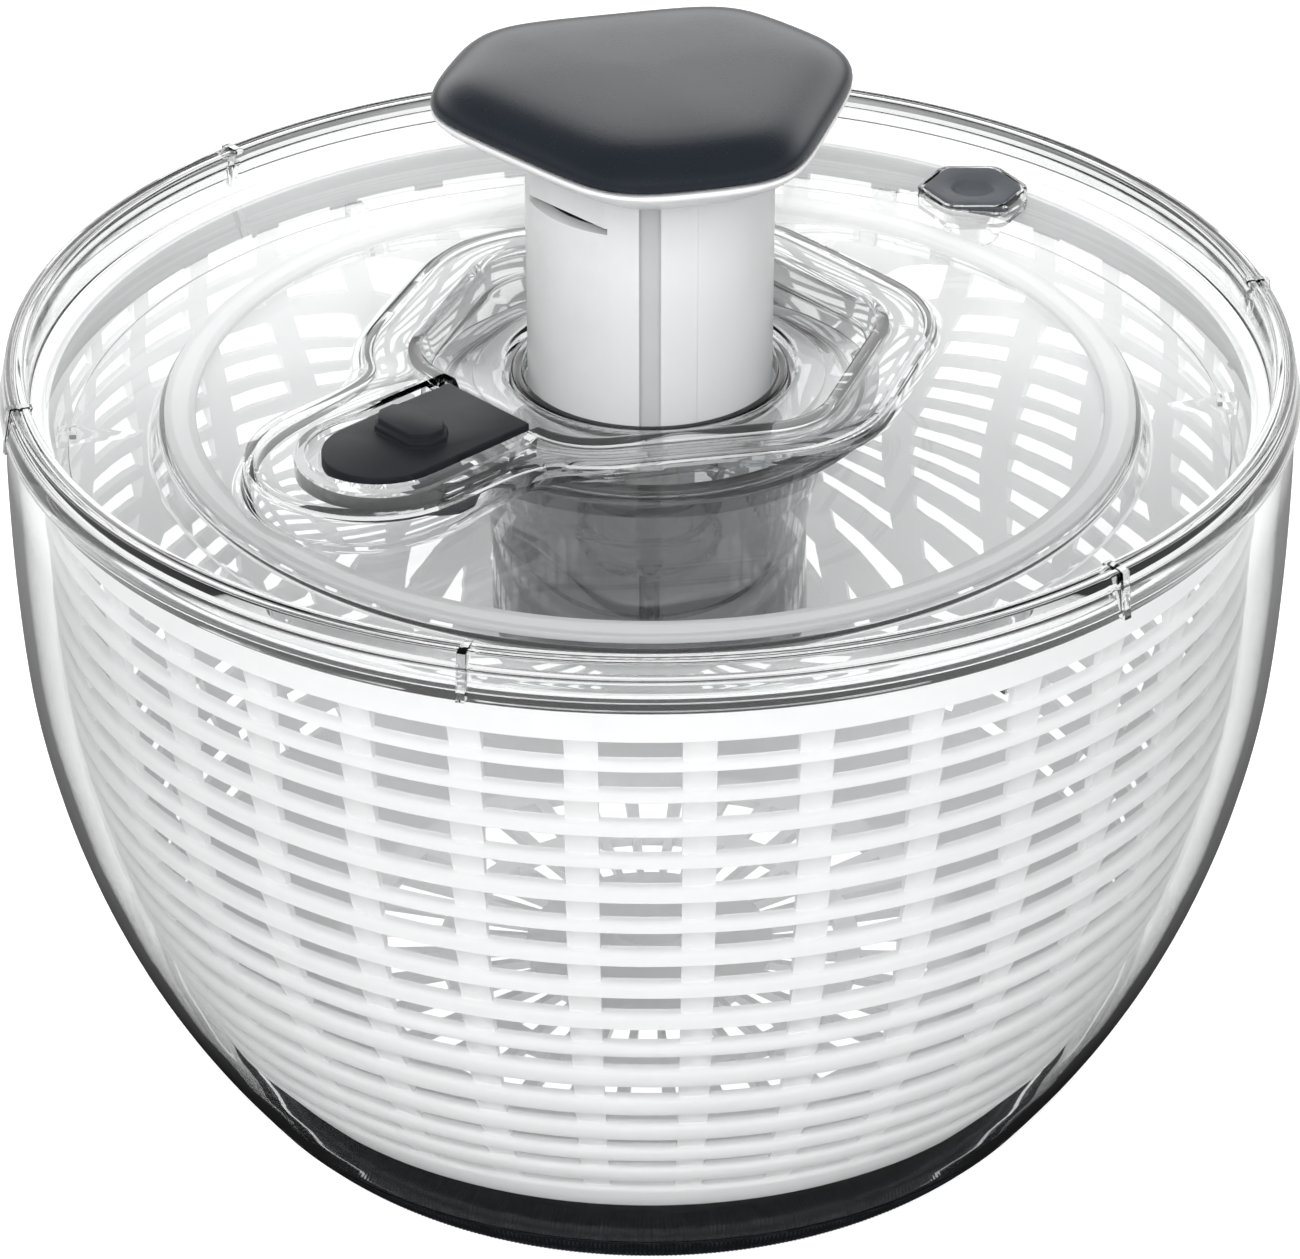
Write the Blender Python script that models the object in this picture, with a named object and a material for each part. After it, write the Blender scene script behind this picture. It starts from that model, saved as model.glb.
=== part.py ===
"""Press-down salad spinner: a clear bowl, a white basket that spins in it, and a clear
lid that holds the pump, its lock and a drain plug.

All sizes below are in millimetres and the model is in metres. The origin is the centre
of the base on the table, +Z is up, and the pump, the basket and the bowl share the Z
axis. The slider lock lies along SLIDE_AZIMUTH and the drain plug along PLUG_AZIMUTH.
"""
import math

import bmesh
import bpy

MM = 0.001                  # one millimetre in metres
GAP = 0.3                   # space left between pieces that touch

# ---- driving dimensions -------------------------------------------------------------
WIDE_STEPS = 48             # facets round the bowl, the basket and what fits them
ROUND_STEPS = 32            # facets round the smaller turned pieces
BOWL_OUTER = [(93.9, 4.0), (97.9, 10.0), (105.4, 22.0), (114.0, 40.0), (121.2, 60.0),
              (126.4, 82.0), (129.1, 110.0), (129.4, 138.0), (128.6, 156.0)]
BOWL_WALL = 2.1
BOWL_TOP = 159.0
BOWL_FLOOR = (6.2, 8.4)     # underside and top of the bowl's floor
FOOT_OUTER = 91.6
FOOT_INNER = 88.9
FOOT_BOTTOM = 1.3
NUB_RADIUS = 5.2            # the nub that the basket turns on
NUB_TOP = 16.4

BASKET_OUTER = [(122.5, 149.0), (122.5, 141.8)]     # the plain band round the rim
BASKET_ROWS = [(122.4, 112.0), (121.6, 102.0), (117.7, 74.0), (115.6, 64.0), (106.8, 38.0)]
BASKET_WALL = 2.0
BASKET_FLOOR = (12.0, 14.2)
BASKET_COLUMNS = 24         # openings round the basket

LID_STEPS = 60              # facets round the lid
LID_TOP = 162.7             # top of the rim bead
LID_WALL = 2.0
COLLAR_RADIUS = 29.3        # hole in the lid round the sleeve
NEST_FLOOR = (155.0, 157.6)  # height of the knob's nest at the collar and at its wall
RIDGE_TOP = 163.0
HEX_PHASE = math.radians(11)
SLIDE_AZIMUTH = math.radians(-136)
POD_HALF_WIDTH = 25.0
POD_END = 73.0              # centre of the pod's round end
PLUG_AZIMUTH = math.radians(49.6)
PLUG_REACH = 108.2          # distance of the drain plug from the axis

KNOB_SIDES = (36.4, 41.9)   # distance of the knob's long and short sides from the axis
KNOB_POWER = 9.5            # a higher power gives straighter sides and tighter corners
KNOB_BOTTOM = 200.6
KNOB_SEAM = 212.0           # joint between the white base and the dark cap
KNOB_TOP = 219.6
STROKE = 38.0               # travel of the handle
LEAD = 40.0                 # travel for one turn of the spiral shaft

SLEEVE_OUTER = 24.6
SLEEVE_INNER = 21.4
SLEEVE_BOTTOM = 146.0
SLEEVE_TOP = 206.6
HOUSING_BOTTOM = 107.5
ROTOR_DISC_TOP = 147.0

SLIDER_INNER_END = 41.0
SLIDER_END_CENTRE = 67.5
SLIDER_HALF_WIDTH = 11.0
SLIDER_PLATE = (158.9, 161.4)


# ---- materials ----------------------------------------------------------------------
def material(name, colour, roughness, metallic=0.0, alpha=1.0):
    made = bpy.data.materials.new(name)
    made.use_nodes = True
    shader = made.node_tree.nodes["Principled BSDF"]
    shader.inputs["Base Color"].default_value = (*colour, 1.0)
    shader.inputs["Roughness"].default_value = roughness
    shader.inputs["Metallic"].default_value = metallic
    shader.inputs["Alpha"].default_value = alpha
    made.diffuse_color = (*colour, alpha)
    return made


# ---- outlines -----------------------------------------------------------------------
def around(radius, angle):
    return (radius * math.cos(angle), radius * math.sin(angle))


def circle(radius, steps, phase=0.0):
    return [around(radius, phase + 2 * math.pi * i / steps) for i in range(steps)]


def hexagon_reach(angle, corner, fillet, phase=HEX_PHASE):
    """Distance from the centre of a rounded hexagon to its edge, in direction angle."""
    sixth = math.pi / 3
    from_corner = (angle - phase + sixth / 2) % sixth - sixth / 2
    centre = corner - fillet / math.cos(sixth / 2)
    inside = fillet ** 2 - (centre * math.sin(from_corner)) ** 2
    if inside > 0:
        reach = centre * math.cos(from_corner) + math.sqrt(inside)
        if abs(reach * math.sin(from_corner)) <= fillet * math.sin(sixth / 2):
            return reach
    return corner * math.cos(sixth / 2) / math.cos(sixth / 2 - abs(from_corner))


def hexagon(corner, fillet, steps, phase=HEX_PHASE):
    angles = [phase + 2 * math.pi * i / steps for i in range(steps)]
    return [around(hexagon_reach(angle, corner, fillet, phase), angle) for angle in angles]


def pod_reach(angle, half_width):
    """Distance from the axis to the side or the round end of the slider's pod."""
    off = angle - SLIDE_AZIMUTH
    if math.cos(off) <= 0:
        return 0.0
    side = half_width / max(abs(math.sin(off)), 1e-6)
    if side * math.cos(off) <= POD_END:
        return side
    inside = half_width ** 2 - (POD_END * math.sin(off)) ** 2
    return POD_END * math.cos(off) + math.sqrt(max(inside, 0.0))


def platform(grow, steps):
    """The raised platform's outline: a rounded hexagon that runs smoothly into the pod."""
    blend = 12.0            # a higher power gives a tighter corner between the two
    points = []
    for i in range(steps):
        angle = HEX_PHASE + 2 * math.pi * i / steps
        ridge = hexagon_reach(angle, 62.0, 28.0) + grow
        pod = pod_reach(angle, POD_HALF_WIDTH + grow)
        reach = (ridge ** blend + pod ** blend) ** (1 / blend)
        points.append(around(reach, angle))
    return points


def knob_outline(inset, steps=48):
    """Long and short sides in turn, bowed and round-cornered; a long one faces the slider."""
    points = []
    for i in range(steps):
        turn = 2 * math.pi * i / steps
        total = 0.0
        for side in range(6):
            distance = KNOB_SIDES[side % 2] - inset
            total += max(math.cos(turn - side * math.pi / 3) / distance, 0.0) ** KNOB_POWER
        points.append(around(total ** (-1 / KNOB_POWER), SLIDE_AZIMUTH + turn))
    return points


def stadium(inner, end_centre, half_width, steps=10):
    """A bar along +X from inner to a round end about end_centre."""
    points = [(inner, half_width), (inner, -half_width)]
    for i in range(steps + 1):
        angle = math.pi * (i / steps - 0.5)
        points.append((end_centre + half_width * math.cos(angle), half_width * math.sin(angle)))
    return points


def chamfered_box(centre, length, width, cut):
    """A rectangle with cut corners, long sides along Y."""
    x, y = length / 2, width / 2
    corners = [(x - cut, -y), (x, -y + cut), (x, y - cut), (x - cut, y),
               (cut - x, y), (-x, y - cut), (-x, cut - y), (cut - x, -y)]
    return [(centre[0] + px, centre[1] + py) for px, py in corners]


def offset_inwards(profile, wall):
    """A turned profile moved sideways by wall, towards the axis."""
    moved = []
    for i, (radius, height) in enumerate(profile):
        before = profile[max(i - 1, 0)]
        after = profile[min(i + 1, len(profile) - 1)]
        rise = after[1] - before[1]
        run = after[0] - before[0]
        length = math.hypot(rise, run)
        side = 1 if rise > 0 else -1
        moved.append((radius - wall * side * rise / length, height + wall * side * run / length))
    return moved


# ---- solids -------------------------------------------------------------------------
def place(name, bm, mat, parent=None):
    """Turn a bmesh in millimetres into a named object in metres."""
    bmesh.ops.remove_doubles(bm, verts=bm.verts, dist=1e-4)
    bmesh.ops.scale(bm, vec=(MM, MM, MM), verts=bm.verts)
    bmesh.ops.recalc_face_normals(bm, faces=bm.faces)
    mesh = bpy.data.meshes.new(name)
    bm.to_mesh(mesh)
    bm.free()
    mesh.shade_smooth()
    mesh.set_sharp_from_angle(angle=math.radians(35))
    mesh.materials.append(mat)
    made = bpy.data.objects.new(name, mesh)
    bpy.context.scene.collection.objects.link(made)
    made.parent = parent
    return made


def turned(name, profile, mat, parent=None, steps=ROUND_STEPS):
    """Spin a profile of (radius, height) about Z. It closes on itself off the axis."""
    bm = bmesh.new()
    points = [bm.verts.new((radius, 0, height)) for radius, height in profile]
    edges = [bm.edges.new(pair) for pair in zip(points, points[1:])]
    if min(radius for radius, height in profile) > 0:
        edges.append(bm.edges.new((points[-1], points[0])))
    bmesh.ops.spin(bm, geom=points + edges, cent=(0, 0, 0), axis=(0, 0, 1),
                   angle=2 * math.pi, steps=steps, use_merge=True)
    return place(name, bm, mat, parent)


def lofted(name, levels, mat, parent=None, ring=False):
    """Skin a row of loops. A level is (outline, height); ring joins the last to the first."""
    bm = bmesh.new()
    loops = [[bm.verts.new((x, y, height)) for x, y in outline] for outline, height in levels]
    count = len(loops[0])
    pairs = list(zip(loops, loops[1:]))
    if ring:
        pairs.append((loops[-1], loops[0]))
    else:
        bm.faces.new(loops[0])
        bm.faces.new(loops[-1])
    for lower, upper in pairs:
        for i in range(count):
            j = (i + 1) % count
            bm.faces.new((lower[i], lower[j], upper[j], upper[i]))
    return place(name, bm, mat, parent)


def prism(name, outline, bottom, top, mat, parent=None):
    return lofted(name, [(outline, bottom), (outline, top)], mat, parent)


def rod(name, radius, bottom, top, mat, parent=None, at=(0.0, 0.0), steps=12):
    outline = [(at[0] + x, at[1] + y) for x, y in circle(radius, steps)]
    return prism(name, outline, bottom, top, mat, parent)


def apply_tool(target, tool, operation):
    """Cut or join with a helper object, which isn't a piece itself."""
    tool.hide_render = True
    tool.display_type = "WIRE"
    step = target.modifiers.new(tool.name, "BOOLEAN")
    step.object = tool
    step.operation = operation
    step.solver = "EXACT"


def cut(target, tool):
    apply_tool(target, tool, "DIFFERENCE")


def join(target, tool):
    apply_tool(target, tool, "UNION")


def frame_empty(name, location=(0.0, 0.0, 0.0), turn=0.0):
    """An empty on a joint's axis, which carries that body's pieces."""
    made = bpy.data.objects.new(name, None)
    made.location = [value * MM for value in location]
    made.rotation_euler = (0, 0, turn)
    bpy.context.scene.collection.objects.link(made)
    return made


# ---- bowl ---------------------------------------------------------------------------
def make_bowl(mat, parent):
    outer = BOWL_OUTER + [(128.3, BOWL_TOP)]
    inner = offset_inwards(BOWL_OUTER[1:], BOWL_WALL)[::-1]
    floor_under, floor_top = BOWL_FLOOR
    profile = [(0, floor_under), (FOOT_INNER, floor_under), (FOOT_INNER, FOOT_BOTTOM),
               (FOOT_OUTER, FOOT_BOTTOM)]
    profile += outer
    profile += [(126.5, BOWL_TOP)]
    profile += inner
    profile += [(90.0, floor_top), (NUB_RADIUS, floor_top), (NUB_RADIUS - 0.6, NUB_TOP - 1.6),
                (NUB_RADIUS - 2.0, NUB_TOP), (0, NUB_TOP)]
    return turned("bowl", profile, mat, parent, WIDE_STEPS)


def make_base_ring(mat, parent):
    """The non-slip ring pressed up into the bowl's foot."""
    body = FOOT_INNER - 0.4
    flange_top = FOOT_BOTTOM - GAP
    profile = [(78.0, 0.0), (90.6, 0.0), (90.6, flange_top), (body, flange_top),
               (body, BOWL_FLOOR[0] - GAP), (78.0, BOWL_FLOOR[0] - GAP)]
    return turned("base_ring", profile, mat, parent, WIDE_STEPS)


# ---- basket -------------------------------------------------------------------------
def make_basket(mat, parent):
    """A lattice: a skin of cells between an outer and an inner profile, some left open."""
    floor_under, floor_top = BASKET_FLOOR
    wall = BASKET_OUTER + BASKET_ROWS + [(96.3, 18.0)]
    outer = wall + [(86.0, floor_under), (74.0, floor_under), (50.0, floor_under),
                    (6.1, floor_under), (5.7, 17.2), (0.0, 17.2)]
    inner = offset_inwards(wall, BASKET_WALL) + [
        (85.4, floor_top), (74.0, floor_top), (50.0, floor_top), (9.0, floor_top), (8.6, 19.4),
        (0.0, 19.6)]
    first_open = len(BASKET_OUTER) - 1
    wall_open = range(first_open, first_open + len(BASKET_ROWS), 2)
    floor_open = len(wall) + 1

    def is_open(column, row):
        return column % 2 == 1 and (row in wall_open or row == floor_open)

    bm = bmesh.new()
    columns = 2 * BASKET_COLUMNS

    def skin(profile):
        return [[bm.verts.new((*around(radius, 2 * math.pi * c / columns), height))
                 for radius, height in profile] for c in range(columns)]

    sides = [skin(outer), skin(inner)]
    rows = len(outer) - 1
    for c in range(columns):
        d = (c + 1) % columns
        bm.faces.new((sides[0][c][0], sides[0][d][0], sides[1][d][0], sides[1][c][0]))
        for r in range(rows):
            if is_open(c, r):
                edges = ((c, r, d, r), (c, r + 1, d, r + 1), (c, r, c, r + 1), (d, r, d, r + 1))
                for a, i, b, j in edges:
                    bm.faces.new((sides[0][a][i], sides[0][b][j], sides[1][b][j], sides[1][a][i]))
            else:
                for side in sides:
                    bm.faces.new((side[c][r], side[d][r], side[d][r + 1], side[c][r + 1]))
    basket = place("basket", bm, mat, parent)
    for i in range(6):
        rib = prism(f"basket_rib_cutter_{i}", [(117.8, -1.5), (121.5, -1.5), (121.5, 1.5),
                                               (117.8, 1.5)], 137.0, 143.5, mat, parent)
        rib.rotation_euler[2] = math.radians(60 * i + 7)
        join(basket, rib)
    return basket


# ---- lid ----------------------------------------------------------------------------
def dome(point):
    """Height of the lid's floor, which falls gently from the platform to the rim."""
    return 160.2 - 0.127 * (math.hypot(*point) - 62.0)


def dome_level(outline, drop=0.0):
    return [(x, y, dome((x, y)) - drop) for x, y in outline]


def level(outline, height):
    return [(x, y, height) for x, y in outline]


def lid_circle(radius):
    return circle(radius, LID_STEPS, HEX_PHASE)


def lid_loops():
    """Loops over the top of the lid from the collar to the skirt, and back underneath."""
    def hexes(corner, fillet):
        return hexagon(corner, fillet, LID_STEPS)

    top = [level(lid_circle(COLLAR_RADIUS), NEST_FLOOR[0]),
           level(hexes(46.0, 14.0), NEST_FLOOR[1]),
           level(hexes(49.4, 15.0), RIDGE_TOP),
           level(platform(-1.0, LID_STEPS), RIDGE_TOP),
           level(platform(0.0, LID_STEPS), RIDGE_TOP - 1.0),
           dome_level(platform(1.2, LID_STEPS)),
           dome_level(lid_circle(112.0))]
    rim = [(121.5, 152.6), (124.0, 154.2), (124.3, LID_TOP - 0.8), (125.3, LID_TOP),
           (127.8, LID_TOP), (130.0, 155.2), (129.0, 155.0), (128.85, 159.6), (126.1, 159.6),
           (126.1, 151.2), (121.5, 150.6)]
    under = [dome_level(lid_circle(112.0), LID_WALL),
             dome_level(platform(-0.7, LID_STEPS), LID_WALL),
             level(platform(-2.2, LID_STEPS), RIDGE_TOP - LID_WALL),
             level(hexes(51.6, 17.0), RIDGE_TOP - LID_WALL),
             level(hexes(48.6, 16.0), NEST_FLOOR[1] - LID_WALL),
             level(lid_circle(COLLAR_RADIUS), NEST_FLOOR[0] - LID_WALL)]
    return top + [level(lid_circle(radius), height) for radius, height in rim] + under


def make_lid(mat, parent):
    bm = bmesh.new()
    loops = [[bm.verts.new(point) for point in loop] for loop in lid_loops()]
    for lower, upper in zip(loops, loops[1:] + loops[:1]):
        for i in range(LID_STEPS):
            j = (i + 1) % LID_STEPS
            bm.faces.new((lower[i], lower[j], upper[j], upper[i]))
    lid = place("lid_shell", bm, mat, parent)
    add_slider_pocket(lid, mat, parent)
    add_plug_cup(lid, mat, parent)
    return lid


def add_slider_pocket(lid, mat, parent):
    """The tray that the slider runs in, open on top and towards the collar."""
    floor_top = SLIDER_PLATE[0] - 0.4
    end = SLIDER_END_CENTRE + 0.4
    tray = prism("tray_cutter", stadium(46.0, end, SLIDER_HALF_WIDTH + 2.6), floor_top - 1.9,
                 RIDGE_TOP - 0.8, mat, parent)
    pocket = prism("pocket_cutter", stadium(30.0, end, SLIDER_HALF_WIDTH + 0.5), floor_top,
                   RIDGE_TOP + 5.0, mat, parent)
    slot = prism("stem_slot_cutter", [(46.8, -2.6), (67.2, -2.6), (67.2, 2.6), (46.8, 2.6)],
                 floor_top - 5.0, floor_top + 5.0, mat, parent)
    join(lid, tray)
    for tool in (pocket, slot):
        cut(lid, tool)
    for tool in (tray, pocket, slot):
        tool.rotation_euler[2] = SLIDE_AZIMUTH


def add_plug_cup(lid, mat, parent):
    """The six-sided cup that the drain plug sits in, with its short spout."""
    def six_sided(corner):
        return hexagon(corner, 3.0, 18, phase=0.0)

    cup = prism("cup_cutter", six_sided(12.4), 149.4, 156.2, mat, parent)
    spout = rod("spout_cutter", 6.2, 143.6, 150.0, mat, parent, steps=16)
    well = prism("well_cutter", six_sided(11.35), 150.6, 160.0, mat, parent)
    bore = rod("bore_cutter", 5.0, 140.0, 152.0, mat, parent, steps=16)
    for tool in (cup, spout):
        join(lid, tool)
    for tool in (well, bore):
        cut(lid, tool)
    for tool in (cup, spout, well, bore):
        tool.location = [value * MM for value in (*around(PLUG_REACH, PLUG_AZIMUTH), 0.0)]


def make_plug(mat, parent):
    """A soft plug with a finger dimple, made about its own centre."""
    def six_sided(corner):
        return hexagon(corner, 3.0, 18, phase=0.0)

    levels = [(circle(4.0, 18), 146.5), (circle(4.6, 18), 151.8), (six_sided(10.9), 151.8),
              (six_sided(11.0), 155.9), (six_sided(10.4), 156.4), (circle(4.4, 18), 156.4),
              (circle(3.4, 18), 154.4)]
    return lofted("drain_plug", levels, mat, parent)


# ---- pump housing -------------------------------------------------------------------
SCREW_CIRCLE = 27.6         # the cap's screws round the housing
SCREW_HOLE = 1.35


def make_housing(mat, parent):
    profile = [(25.5, HOUSING_BOTTOM), (28.0, HOUSING_BOTTOM), (28.0, 150.4), (36.0, 150.4),
               (36.0, 152.6), (28.0, 152.6), (28.0, 155.0), (25.5, 155.0)]
    housing = turned("pump_housing", profile, mat, parent)
    bosses = []
    holes = []
    for i in range(3):
        at = around(SCREW_CIRCLE, math.radians(120 * i + 30))
        bosses.append(rod(f"boss_cutter_{i}", 2.7, HOUSING_BOTTOM, 118.0, mat, parent, at))
        holes.append(rod(f"housing_hole_cutter_{i}", SCREW_HOLE, HOUSING_BOTTOM - 1, 115.5, mat,
                         parent, at))
    bore = rod("housing_bore_cutter", 25.5, HOUSING_BOTTOM - 2, 160.0, mat, parent,
               steps=ROUND_STEPS)
    for boss in bosses:
        join(housing, boss)
    cut(housing, bore)
    for hole in holes:
        cut(housing, hole)
    return housing


def make_housing_cap(mat, parent):
    bottom, top = 104.6, HOUSING_BOTTOM - GAP
    cap = turned("housing_cap", [(9.0, bottom), (30.5, bottom), (30.5, top), (9.0, top)], mat, parent)
    for i in range(3):
        at = around(SCREW_CIRCLE, math.radians(120 * i + 30))
        cut(cap, rod(f"cap_hole_cutter_{i}", SCREW_HOLE, bottom - 1, top + 1, mat, parent, at))
    return cap


def make_screw(name, mat, parent, at, head_rests, direction, shank=9.0, head=2.1):
    """A pan-head screw; direction is +1 where its shank points up and -1 where it points down."""
    outline = [(0, head_rests + direction * shank), (1.0, head_rests + direction * (shank - 0.8)),
               (1.0, head_rests), (head, head_rests), (head, head_rests - direction * 1.2),
               (head - 0.7, head_rests - direction * 1.8), (0, head_rests - direction * 1.8)]
    screw = turned(name, outline, mat, parent, steps=10)
    screw.location = (at[0] * MM, at[1] * MM, 0)
    return screw


def make_shaft_bush(mat, parent):
    cap_top = HOUSING_BOTTOM - GAP
    profile = [(7.0, 104.4), (8.6, 104.4), (8.6, cap_top + GAP), (11.5, cap_top + GAP),
               (11.5, cap_top + 2.0), (7.0, cap_top + 2.0)]
    return turned("shaft_bush", profile, mat, parent, steps=18)


# ---- handle -------------------------------------------------------------------------
def make_knob_cap(mat, parent):
    shape = [(0.9, KNOB_SEAM + GAP), (0.1, 212.9), (0.3, 214.7), (1.3, 216.3), (3.4, 217.9),
             (6.8, 219.0), (13.0, 219.4), (25.0, KNOB_TOP)]
    levels = [(knob_outline(inset), height) for inset, height in shape]
    return lofted("knob_cap", levels, mat, parent)


def make_knob_base(mat, parent):
    """The white shell under the cap: a bore for the sleeve and a web for its screws."""
    web_bottom, web_top = SLEEVE_TOP + GAP, 209.0

    def rounds(radius):
        return circle(radius, 48, SLIDE_AZIMUTH)

    levels = [(knob_outline(0.8), KNOB_SEAM), (rounds(28.0), KNOB_SEAM),
              (rounds(28.0), web_top), (rounds(9.0), web_top), (rounds(9.0), web_bottom),
              (rounds(24.9), web_bottom), (rounds(24.9), KNOB_BOTTOM),
              (rounds(26.8), KNOB_BOTTOM), (knob_outline(8.0), 203.2),
              (knob_outline(3.2), 207.4), (knob_outline(0.4), 210.3)]
    base = lofted("knob_base", levels, mat, parent, ring=True)
    for i in range(3):
        at = around(23.0, math.radians(120 * i + 60))
        cut(base, rod(f"knob_hole_cutter_{i}", SCREW_HOLE, web_bottom - 1, web_top + 1, mat, parent, at))
    return base


def make_sleeve(mat, parent):
    """The tube that moves down into the lid, with its front groove and its lock notch."""
    profile = [(SLEEVE_INNER, SLEEVE_BOTTOM), (SLEEVE_OUTER, SLEEVE_BOTTOM),
               (SLEEVE_OUTER, SLEEVE_TOP), (SLEEVE_INNER, SLEEVE_TOP)]
    sleeve = turned("plunger_sleeve", profile, mat, parent)
    groove = prism("groove_cutter", [(-1.8, -30), (1.8, -30), (1.8, -23.9), (-1.8, -23.9)],
                   SLEEVE_BOTTOM - 1, SLEEVE_TOP + 1, mat, parent)
    ledge = SLIDER_PLATE[0] + STROKE - 1.9      # it passes under the plate with the handle down
    notch = prism("notch_cutter", [(22.3, -12), (30, -12), (30, 12), (22.3, 12)], ledge,
                  ledge + 8.4, mat, parent)
    notch.rotation_euler[2] = SLIDE_AZIMUTH
    cut(sleeve, groove)
    cut(sleeve, notch)
    for i in range(3):
        at = around(23.0, math.radians(120 * i + 60))
        cut(sleeve, rod(f"sleeve_hole_cutter_{i}", SCREW_HOLE, 198.6, SLEEVE_TOP + 1, mat, parent, at))
    return sleeve


NUT = (156.0, 164.0)        # underside and top of the drive nut


def make_drive_nut(mat, parent):
    bottom, top = NUT
    profile = [(6.8, bottom), (20.9, bottom), (20.9, bottom + 2.5), (10.0, bottom + 2.5),
               (9.0, top), (6.8, top)]
    return turned("drive_nut", profile, mat, parent, steps=24)


def make_spring(mat, parent):
    """A coil from the housing cap to the underside of the nut."""
    coil, wire, turns, per_turn, sides = 15.0, 0.8, 5, 10, 5
    low = HOUSING_BOTTOM + wire
    high = NUT[0] - GAP - wire
    bm = bmesh.new()
    sections = []
    count = turns * per_turn
    for i in range(count + 1):
        share = i / count
        turn = 2 * math.pi * turns * share
        height = low + (high - low) * share
        sections.append([bm.verts.new((*around(coil + wire * math.cos(a), turn),
                                       height + wire * math.sin(a)))
                         for a in (2 * math.pi * k / sides for k in range(sides))])
    for one, two in zip(sections, sections[1:]):
        for k in range(sides):
            m = (k + 1) % sides
            bm.faces.new((one[k], one[m], two[m], two[k]))
    bm.faces.new(sections[0])
    bm.faces.new(sections[-1])
    return place("return_spring", bm, mat, parent)


# ---- spiral shaft and one-way clutch ------------------------------------------------
SHAFT_FOOT = 94.9           # lower end of the shaft, below the rotor's floor
ROTOR_FLOOR = (95.5, 97.7)


def lobes(radius, depth, turn, steps):
    """A three-start spiral's section, turned by turn."""
    points = []
    for i in range(steps):
        angle = 2 * math.pi * i / steps
        reach = radius - depth / 2 + depth / 2 * math.cos(3 * (angle - turn))
        points.append(around(reach, angle))
    return points


def make_spiral_shaft(mat, parent):
    steps = 12
    screw_hole = circle(1.35, steps)
    spigot = circle(3.3, steps)
    seat = circle(5.0, steps)
    neck = circle(6.6, steps)
    stop = circle(9.8, steps)
    stop_bottom = HOUSING_BOTTOM + 2.0
    levels = [(screw_hole, 102.5), (screw_hole, SHAFT_FOOT), (spigot, SHAFT_FOOT), (spigot, 98.3),
              (seat, 98.3), (seat, 103.4), (neck, 103.4), (neck, stop_bottom), (stop, stop_bottom),
              (stop, stop_bottom + 1.4), (neck, stop_bottom + 1.4)]
    start, end = 113.0, 170.0
    count = 22
    for i in range(count + 1):
        height = start + (end - start) * i / count
        turn = 2 * math.pi * (height - start) / LEAD
        levels.append((lobes(6.2, 1.6, turn, steps), height))
    levels.append((circle(3.5, steps), end + 1.0))
    return lofted("spiral_shaft", levels, mat, parent)


def make_pawl_carrier(mat, parent):
    profile = [(5.4, 98.6), (13.4, 98.6), (13.4, 99.8), (8.2, 99.8), (8.2, 103.0), (5.4, 103.0)]
    carrier = turned("pawl_carrier", profile, mat, parent, steps=18)
    for i in range(2):
        at = around(11.2, math.pi * i)
        join(carrier, rod(f"pawl_pin_cutter_{i}", 0.9, 99.0, 102.9, mat, parent, at, 8))
    return carrier


def make_pawl(name, turn, mat, parent):
    """A small catch on the carrier's pin, its tip towards the ratchet's teeth."""
    outline = [(9.4, 1.4), (9.6, -1.6), (11.2, -2.0), (13.0, -0.6), (13.4, 3.0), (14.4, 5.6),
               (13.0, 5.4), (11.4, 2.2)]
    pawl = prism(name, outline, 100.1, 102.6, mat, parent)
    cut(pawl, rod(name + "_hole_cutter", 1.25, 99.0, 104.0, mat, pawl, (11.2, 0.0), 8))
    pawl.rotation_euler[2] = turn
    return pawl


def make_ratchet(mat, parent):
    """A ring with saw teeth on the inside, fixed to the rotor's floor."""
    teeth, outer, root, tip = 14, 19.5, 17.6, 15.9
    inner = []
    rim = []
    for i in range(teeth):
        for share, radius in ((0.0, root), (0.12, tip), (0.5, (tip + root) / 2)):
            angle = 2 * math.pi * (i + share) / teeth
            inner.append(around(radius, angle))
            rim.append(around(outer, angle))
    bottom, top = ROTOR_FLOOR[1] + GAP, 103.2
    levels = [(rim, bottom), (rim, top), (inner, top), (inner, bottom)]
    return lofted("ratchet_ring", levels, mat, parent, ring=True)


def make_washer(mat, parent):
    top = SHAFT_FOOT - GAP
    profile = [(1.4, top - 1.0), (7.0, top - 1.0), (7.0, top), (1.4, top)]
    return turned("rotor_washer", profile, mat, parent, steps=16)


# ---- rotor --------------------------------------------------------------------------
def make_rotor_cup(mat, parent):
    """The smoked cup round the pump, with the flange that carries the disc."""
    floor_under, floor_top = ROTOR_FLOOR
    outer = [(33.4, floor_under), (34.4, 114.0), (37.0, 128.0), (42.5, ROTOR_DISC_TOP + GAP)]
    inner = [(40.8, 148.9), (35.0, 128.0), (32.4, 114.0), (31.3, floor_top)]
    flange = [(47.0, ROTOR_DISC_TOP + GAP), (47.0, 148.9)]
    profile = [(3.7, floor_top), (3.7, floor_under)] + outer + flange + inner
    return turned("rotor_cup", profile, mat, parent)


def make_drive_disc(mat, parent):
    """The clear disc over the basket; lugs on its edge push the basket's ribs round."""
    top = ROTOR_DISC_TOP
    profile = [(43.0, top - 2.0), (97.2, top - 2.0), (99.2, 139.8), (117.2, 139.8),
               (117.2, 141.8), (100.8, 141.8), (98.6, top), (43.0, top)]
    disc = turned("drive_disc", profile, mat, parent, WIDE_STEPS)
    for i in range(6):
        lug = prism(f"lug_cutter_{i}", [(115.5, -2), (119.7, -2), (119.7, 2), (115.5, 2)], 139.8,
                    142.8, mat, parent)
        lug.rotation_euler[2] = math.radians(60 * i + 3.5)
        join(disc, lug)
    return disc


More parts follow.
